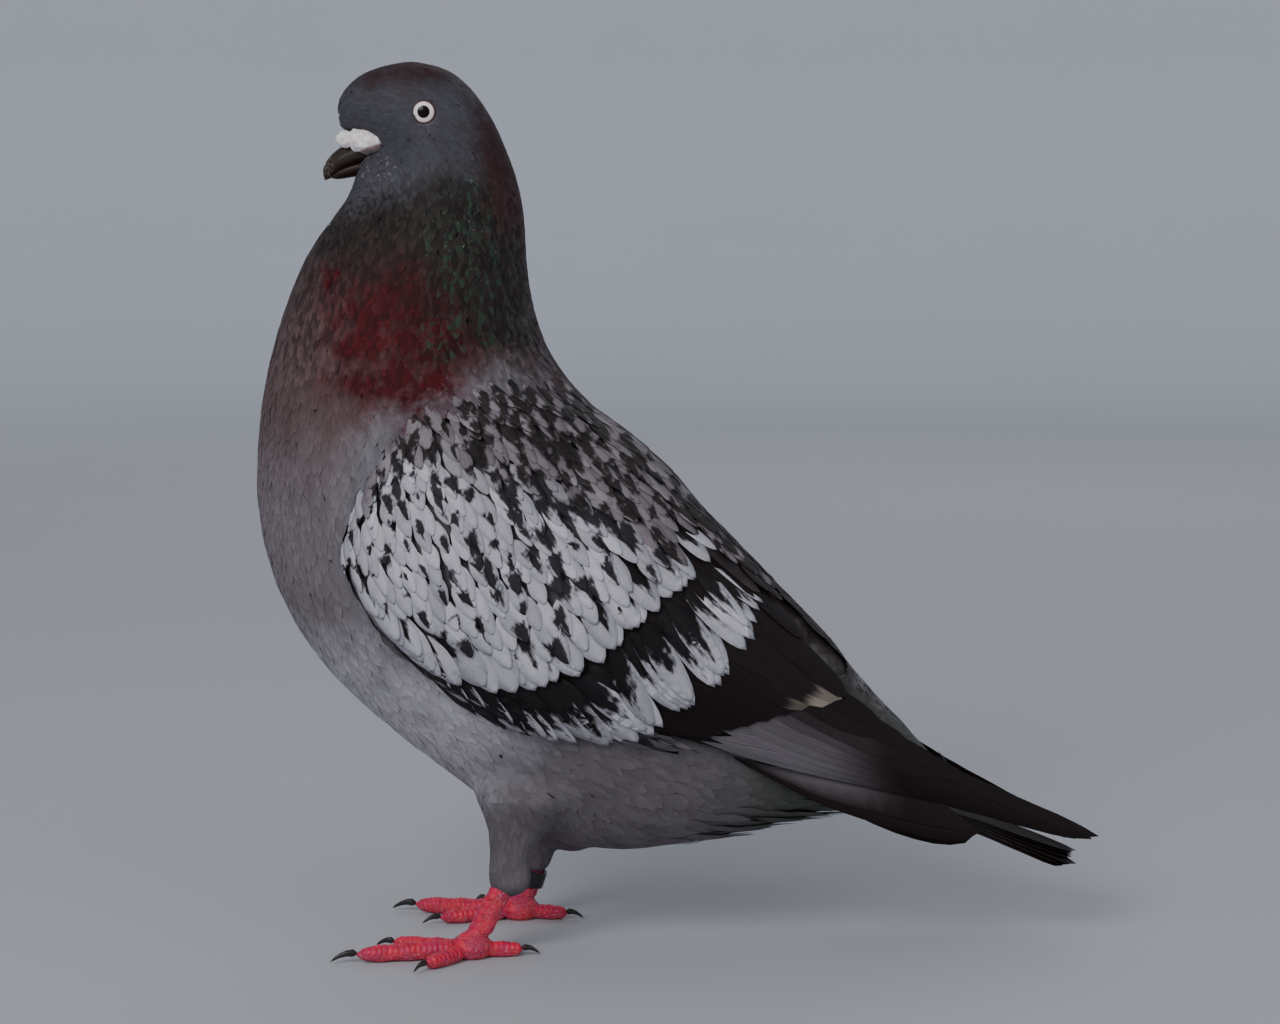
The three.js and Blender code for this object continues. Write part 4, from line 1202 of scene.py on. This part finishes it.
def cover_wing(side, finish):
    """Every covert of one wing, in one piece."""
    rng = np.random.default_rng(23)
    surface = flank(side)
    blade = Blade(6, 8)
    spots, small = small_coverts(surface, rng)
    upper = scapulars(side, surface, rng)
    spots = np.concatenate([spots, upper["roots"][spaced(upper["roots"], np.full(len(upper["roots"]), 6.0))]
                            + [2.5, 0, -3.0]])
    rows = [small, upper, *long_coverts(side, surface, rng)]

    def get(*keys):
        """Numbers for every covert, 0 where its row has none."""
        return (np.concatenate([np.broadcast_to(r.get(key, 0.0), len(r["reach"])) for r in rows]) for key in keys)

    roots = np.concatenate([r["roots"] for r in rows])
    reach, half, low, high = get("reach", "half", "low", "high")
    aims = swung(wing_lie(roots), surface.snap(roots)[1], 0.12, rng)
    first = len(small["reach"])
    few = first + len(upper["reach"])
    points = np.concatenate([
        lay(base, blade, roots[mine], aims[mine], reach[mine], half[mine], profile, thick, low[mine], high[mine],
            steer=wing_lie, share=0.15, keel=keel)
        for base, mine, profile, thick, keel in ((surface, slice(first), SOFT, 0.025, 0.01),
                                                 (outside(), slice(first, few), SOFT, 0.025, 0.01),
                                                 (surface, slice(few, None), TIP, 0.03, 0.015))])
    marks = vane_marks(blade, reach, half, rng.random(len(roots)), rng.random(len(roots)) * 500)
    # small coverts share the marks near them; each long covert has its own
    size, shift, start, stop = (values[:, None] for values in get("size", "shift", "start", "stop"))
    down = np.maximum((blade.along - start) / np.where(stop == start, 1, stop - start), -0.5)
    own = np.stack([down, 0.75 * (blade.across - shift) / np.maximum(size, 1e-6), 0 * down], 2)
    own[..., 2] = rng.random(len(roots))[:, None] * 400
    own[:few, :, 0], own[:few, :, 1] = 1 - shared_marks(points[:few], spots, rng) / WEDGE, 0
    marks["mark"] = own
    marks["ends"] = np.repeat(np.stack([*get("stop", "dark", "fringe")], 1)[:, None], len(blade.along), 1)
    made = joined_vanes(f"wing_coverts_{side}_feathers", blade, points, marks, parted(unwrap(roots), PATCH_GAP),
                        COVERT_PATCH, finish)
    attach(made, "root")


# Long wing feathers, lowest first: root and tip, each as x and its share of the way from the wing's upper rim
# to its lower one; half width; depth under the outer face; how dark; pale edge. The first ten are primaries.
QUILLS = (
    (4, 1.0, 104.0, 0.95, 3.7, -2.75, 1.0, 0.0),
    (14, 0.985, 131.0, 0.66, 3.4, -2.6, 0.0, 0.0), (16, 0.955, 129.5, 0.48, 4.0, -2.4, 0.0, 0.0),
    (18, 0.9, 123.5, 0.34, 4.4, -2.2, 0.0, 0.0), (20, 0.84, 115.0, 0.24, 4.8, -2.0, 0.05, 0.0),
    (22, 0.77, 105.5, 0.17, 5.0, -1.8, 0.1, 0.0), (25, 0.69, 95.5, 0.12, 5.2, -1.6, 0.3, 0.0),
    (28, 0.6, 86.0, 0.09, 5.4, -1.45, 0.6, 0.0), (30, 0.5, 76.5, 0.07, 5.4, -1.3, 0.9, 0.0),
    (32, 0.4, 68.0, 0.06, 5.4, -1.2, 1.0, 0.0),
    (-42, 0.88, 4.1, 0.96, 5.0, -2.3, 1.0, 0.0), (-36, 0.84, 13.6, 0.93, 5.5, -2.1, 1.0, 0.0),
    (-32, 0.80, 21.8, 0.88, 5.5, -1.95, 1.0, 0.0), (-26, 0.76, 27.7, 0.80, 5.5, -1.8, 1.0, 0.0),
    (-20, 0.71, 33.0, 0.70, 5.8, -1.65, 1.0, 0.0), (-14, 0.66, 38.5, 0.60, 6.0, -1.5, 1.0, 0.0),
    (-8, 0.58, 44.0, 0.50, 6.2, -1.35, 1.0, 0.0), (-3, 0.50, 49.0, 0.33, 6.5, -1.2, 1.0, 0.35),
    (2, 0.36, 55.5, 0.16, 7.0, -1.05, 1.0, 1.0), (6, 0.24, 58.0, 0.07, 6.0, -0.9, 1.0, 0.6),
    (8, 0.14, 60.0, 0.03, 5.0, -0.75, 1.0, 0.0), (4, 0.06, 47.0, 0.02, 4.5, -0.6, 1.0, 0.0),
    (-4, 0.02, 34.0, 0.02, 4.5, -0.5, 0.9, 0.1),
)
PRIMARIES = 10
# The outermost primary hangs free below the wing: hidden root, root, middle and tip, as its solid has them.
OUTER = {"left": ((24, 26.5, 58.5), (49, 24.8, 46.2), (72, 21.6, 38.4), (94, 17.8, 34.4)),
         "right": ((22, 26.5, 56.5), (44, 24.4, 43.5), (78, 21.6, 23.5), (98, 18.8, 26))}
OUTER_LONG, OUTER_HALF, HIDDEN = 86.0, 3.6, 0.36  # length, half width, and the share under the wing


def side_by_side(count, across):
    """Places of patches in rows on the bake map."""
    n = np.arange(count)
    return (np.stack([n % across, n // across], 1) + 0.5) / across


def quill_wing(side, finish):
    """Secondaries, tertials, primaries and the outermost primary of one wing."""
    rng = np.random.default_rng(31)
    surface = flank(side)
    blade = Blade(8, 14, 1.15)
    at, lower, upper = surface.rims()
    root_x, root_share, tip_x, tip_share, half, deep, dark, worn = np.array(QUILLS, float).T
    count = len(half)

    def spot(x, share, room):
        top, bottom = np.interp(x, at, upper), np.interp(x, at, lower)
        room = np.minimum(room, (top - bottom) / 2)
        z = np.clip(top * (1 - share) + bottom * share, bottom + room, top - room)
        return surface.snap(np.stack([x, 0 * x, z], 1))[0]

    roots, tips = spot(root_x, root_share, half * 0.8), spot(tip_x, tip_share, half * 0.45)
    reach = np.linalg.norm(tips - roots, axis=1)
    aims = (tips - roots) * [1, 0, 1]
    beyond = tips + aims * 0.5

    def straight(place):
        return unit((beyond - place) * [1, 0, 1])

    points = lay(surface, blade, roots, unit(aims), reach, half, QUILL, 0.1, deep - 0.7, deep, steer=straight,
                 share=0.85, keel=0.12)
    marks = vane_marks(blade, reach, half, rng.random(count), rng.random(count) * 500)
    ends = np.repeat(np.stack([0 * dark, dark, worn], 1)[:, None], len(blade.along), 1)
    shade = smooth(points[..., 0] + 0.4 * (points[..., 2] - 50), 46, 72)  # the primaries' grey webs darken to the tip
    ends[:PRIMARIES, :, 1] = np.maximum(ends[..., 1], shade)[:PRIMARIES]
    marks["ends"] = ends
    hanging = hanging_primary(side, blade)
    extra = vane_marks(blade, *(np.array([own]) for own in (OUTER_LONG, OUTER_HALF, 0.4, 77.0)))
    x, _, z = hanging[0].T
    spine = np.array([z[blade.level == k].mean() for k in range(len(blade.stations))])[blade.level]
    inner = smooth(z - spine, 0.2, 1.8) * smooth(-x, -74, -52)
    extra["ends"] = np.stack([0 * x, 1 - 0.85 * inner, 0 * x], 1)[None]
    marks = {key: np.concatenate([marks[key], extra[key]]) for key in marks}
    made = joined_vanes(f"flight_feathers_{side}", blade, np.concatenate([points, hanging]), marks,
                        side_by_side(count + 1, 5), 0.18, finish)
    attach(made, "root")
    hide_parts(f"secondaries_{side}", f"primaries_{side}", f"outer_primary_{side}")


def hanging_primary(side, blade):
    """One leaf on edge along a bent line, in the place of its solid, with its root under the wing."""
    sign = SIDES[side]
    hidden, root, middle, tip = (np.array(p, float) * [1, sign, 1] for p in OUTER[side])
    t = np.clip((blade.along - HIDDEN) / (1 - HIDDEN), 0, 1)[:, None]
    back = np.clip(1 - blade.along / HIDDEN, 0, 1)[:, None]
    line = (1 - t) ** 2 * root + 2 * t * (1 - t) * middle + t**2 * tip + (hidden - root) * back
    run = unit(2 * (1 - t) * (middle - root) + 2 * t * (tip - middle) + (root - hidden) * (back > 0))
    wide = trace(HANGING, blade.along) * OUTER_HALF * blade.across
    aside = unit(np.cross(run, [0, sign, 0]))
    up = aside[:, 2] * blade.across > 0
    wide *= np.where(up, np.interp(blade.along, (0.1, 0.25, 0.4, 0.55, 0.78, 0.95), (1, 3.6, 4.2, 3.4, 2.3, 1)), 1)
    out = unit(np.cross(aside, run))
    out *= np.sign(out[:, 1:2])
    inwards = np.outer(np.where(up, np.abs(wide), 0), [0, -0.25 * sign, 0])
    return (line + aside * wide[:, None] + inwards + out * sign * 0.2 * blade.up[:, None])[None]


class PIGEON_OT_tail(bpy.types.Operator):
    """Lay the twelve tail feathers"""

    bl_idname = "pigeon.tail"
    bl_label = "Tail"

    def execute(self, context):
        rng = np.random.default_rng(41)
        surface = Sheet(tree_of(["tail"]), (8, -24), (132, 24), (0, 1, 2, 1))
        blade = Blade(8, 14, 1.15)
        aside = (np.arange(12) - 5.5) / 5.5
        wide, none = np.abs(aside), 0 * aside
        below = 5.5 * wide - 0.5  # the outer ones lie lowest
        low, high = to_bird(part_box("tail"))
        roots = np.stack([none + low[0] + 6, aside * 5.0, none], 1)
        ends = np.stack([high[0] - 3.2 * wide**3 - 2.6 * rng.random(12), aside * 12.2, none], 1)
        reach, half = np.linalg.norm(ends - roots, axis=1) * 1.045, none + 6.3
        points = lay(surface, blade, roots, unit(ends - roots), reach, half, QUILL, 0.14, -0.5 - 0.28 * below,
                     -0.1 - 0.17 * below, keel=0.15, arch=0.02)
        points[..., 2] -= 6.5 * ((points[..., 0] - 92) / 31).clip(0) ** 1.5 * (0.3 + 0.7 * wide[:, None])
        marks = vane_marks(blade, reach, half, rng.random(12), rng.random(12) * 500)
        made = joined_vanes("tail_feathers", blade, points, marks, side_by_side(12, 4), 0.22, tail_finish())
        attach(made, "root")
        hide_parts("tail")
        return {"FINISHED"}


# ---------------------------------------------------------------- head and feet
def rounded_copy(name, nodes, voxel, rounds, finish, grow=0.0, shape=None):
    """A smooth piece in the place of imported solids."""
    bm = fused(node_shell(nodes, grow), voxel, rounds)
    if shape:
        shape(bm)
        bm.normal_update()
    made = rounded(name, bm, finish)
    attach(made, "root")
    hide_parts(*nodes)


def tucked(bm):
    """The lower bill closes inside the edge of the upper one."""
    for v in bm.verts:
        v.co.y *= 0.86
        v.co.z += 0.0005


def lumps(bm):
    """Uneven chalky swellings with a notch between a small front lobe and a large rear one."""
    for v in bm.verts:
        place = v.co / MM
        along = place.x - OFFSET
        rise = 0.3 * noise.noise(place * 0.45) + 0.25 * noise.noise(place * 1.2 + Vector((9, 0, 0)))
        rise += 0.35 - 0.9 * math.exp(-(((along + 80.2) / 0.8) ** 2)) + 0.3 * math.exp(-(((along + 75) / 2.2) ** 2))
        v.co += v.normal * (rise * MM)


class PIGEON_OT_head(bpy.types.Operator):
    """Make the bill, the cere with its nostrils and the eyes with their lids"""

    bl_idname = "pigeon.head"
    bl_label = "Bill and eyes"

    def execute(self, context):
        horn = bill_finish()
        rounded_copy("upper_bill", ["bill_upper"], FINE_VOXEL, 6, horn, 0.00028)
        rounded_copy("lower_bill", ["bill_lower"], FINE_VOXEL, 6, horn, 0.00038, tucked)
        skin = cere_finish()
        for side, sign in SIDES.items():
            rounded_copy(f"cere_{side}_lobe", [f"cere_{side}"], FINE_VOXEL, 6, skin, 0.0003, lumps)
            low, high = to_bird(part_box(f"eye_{side}"))
            middle, radius = (low + high) / 2, (high[2] - low[2]) / 2
            place = Matrix.Translation(to_frame(middle)) @ Matrix.Rotation(math.radians(90), 4, "X")
            bm = bmesh.new()
            bmesh.ops.create_uvsphere(bm, u_segments=48, v_segments=32, radius=radius * MM, matrix=place)
            eye = rounded(f"eyeball_{side}", bm, eye_finish(middle))
            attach(eye, "root")
            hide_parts(f"eye_{side}")
            self.lids(side, sign, middle, radius)
        return {"FINISHED"}

    def lids(self, side, sign, middle, radius):
        """A ring of skin turned round the eye's axis, resting on the ball, with a skirt under the face feathers."""
        iris, at = sizes().iris / MM, to_frame(middle)

        def on_ball(r, lift):
            return math.sqrt((radius + lift) ** 2 - r * r)

        section = [(iris - 0.04, on_ball(iris - 0.04, 0.02)), (iris + 0.02, on_ball(iris, 0.14)),
                   (iris + 0.14, on_ball(iris + 0.14, 0.2)), (iris + 0.34, on_ball(iris + 0.34, 0.14)),
                   (3.75, 3.3), (4.2, 3.05), (5.0, 2.7), (5.8, 2.4), (6.6, 2.1), (6.5, 1.2), (iris + 0.5, 1.2),
                   (iris + 0.15, on_ball(iris + 0.15, -0.3))]
        bm = bmesh.new()
        ring = [bm.verts.new((at[0] + r * MM, at[1] + sign * y * MM, at[2])) for r, y in section]
        edges = [bm.edges.new(pair) for pair in zip(ring, ring[1:] + ring[:1])]
        bmesh.ops.spin(bm, geom=edges, cent=at, axis=(0, 1, 0), angle=math.tau, steps=56, use_merge=True)
        bmesh.ops.remove_doubles(bm, verts=bm.verts, dist=1e-7)
        for v in bm.verts:
            x, y, z = to_bird(v.co)
            out = math.hypot(x - middle[0], z - middle[2])
            hit = outside().tree.ray_cast((x, sign * 60, z), (0, -sign, 0))[0]
            if out > 3.6 and hit is not None:
                under = 1.2 if (y - middle[1]) * sign < 1.5 else 0.0
                v.co.y = (hit[1] - sign * (0.24 + 0.04 * (out - 3.7) + under)) * MM
        bmesh.ops.recalc_face_normals(bm, faces=bm.faces)
        lid = rounded(f"lids_{side}", bm, lid_finish())
        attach(lid, "root")


class PIGEON_OT_feet(bpy.types.Operator):
    """Make the claws and the leg ring"""

    bl_idname = "pigeon.feet"
    bl_label = "Claws and ring"

    def execute(self, context):
        horn = claw_finish()
        for side in SIDES:
            rounded_copy(f"claws_{side}", [f"claw_{toe}_{side}" for toe in TOES], CLAW_VOXEL, 4, horn,
                         0.0001, flat_soles)
        rounded_copy("ring", ["leg_ring"], CLAW_VOXEL, 3, ring_finish())
        return {"FINISHED"}


class PIGEON_PT_panel(bpy.types.Panel):
    """Lists the steps that dress the pigeon"""

    bl_idname = "PIGEON_PT_panel"
    bl_label = "Pigeon"
    bl_space_type = "VIEW_3D"
    bl_region_type = "UI"
    bl_category = "Pigeon"

    def draw(self, context):
        for group in (context.scene.pigeon_sizes, context.scene.pigeon_colours):
            box = self.layout.box()
            for name in group.__annotations__:
                box.prop(group, name)
        for step in STEPS:
            self.layout.operator(step.bl_idname)


STEPS = (PIGEON_OT_stage, PIGEON_OT_skin, PIGEON_OT_coat, PIGEON_OT_wings, PIGEON_OT_tail, PIGEON_OT_head,
         PIGEON_OT_feet)
CLASSES = (PigeonSizes, PigeonColours, *STEPS, PIGEON_PT_panel)


def register():
    for cls in CLASSES:
        bpy.utils.register_class(cls)
    bpy.types.Scene.pigeon_sizes = PointerProperty(type=PigeonSizes)
    bpy.types.Scene.pigeon_colours = PointerProperty(type=PigeonColours)


def unregister():
    del bpy.types.Scene.pigeon_colours
    del bpy.types.Scene.pigeon_sizes
    for cls in reversed(CLASSES):
        bpy.utils.unregister_class(cls)


def main():
    register()
    for step in STEPS:
        group, name = step.bl_idname.split(".")
        getattr(getattr(bpy.ops, group), name)()


if __name__ == "__main__":
    main()
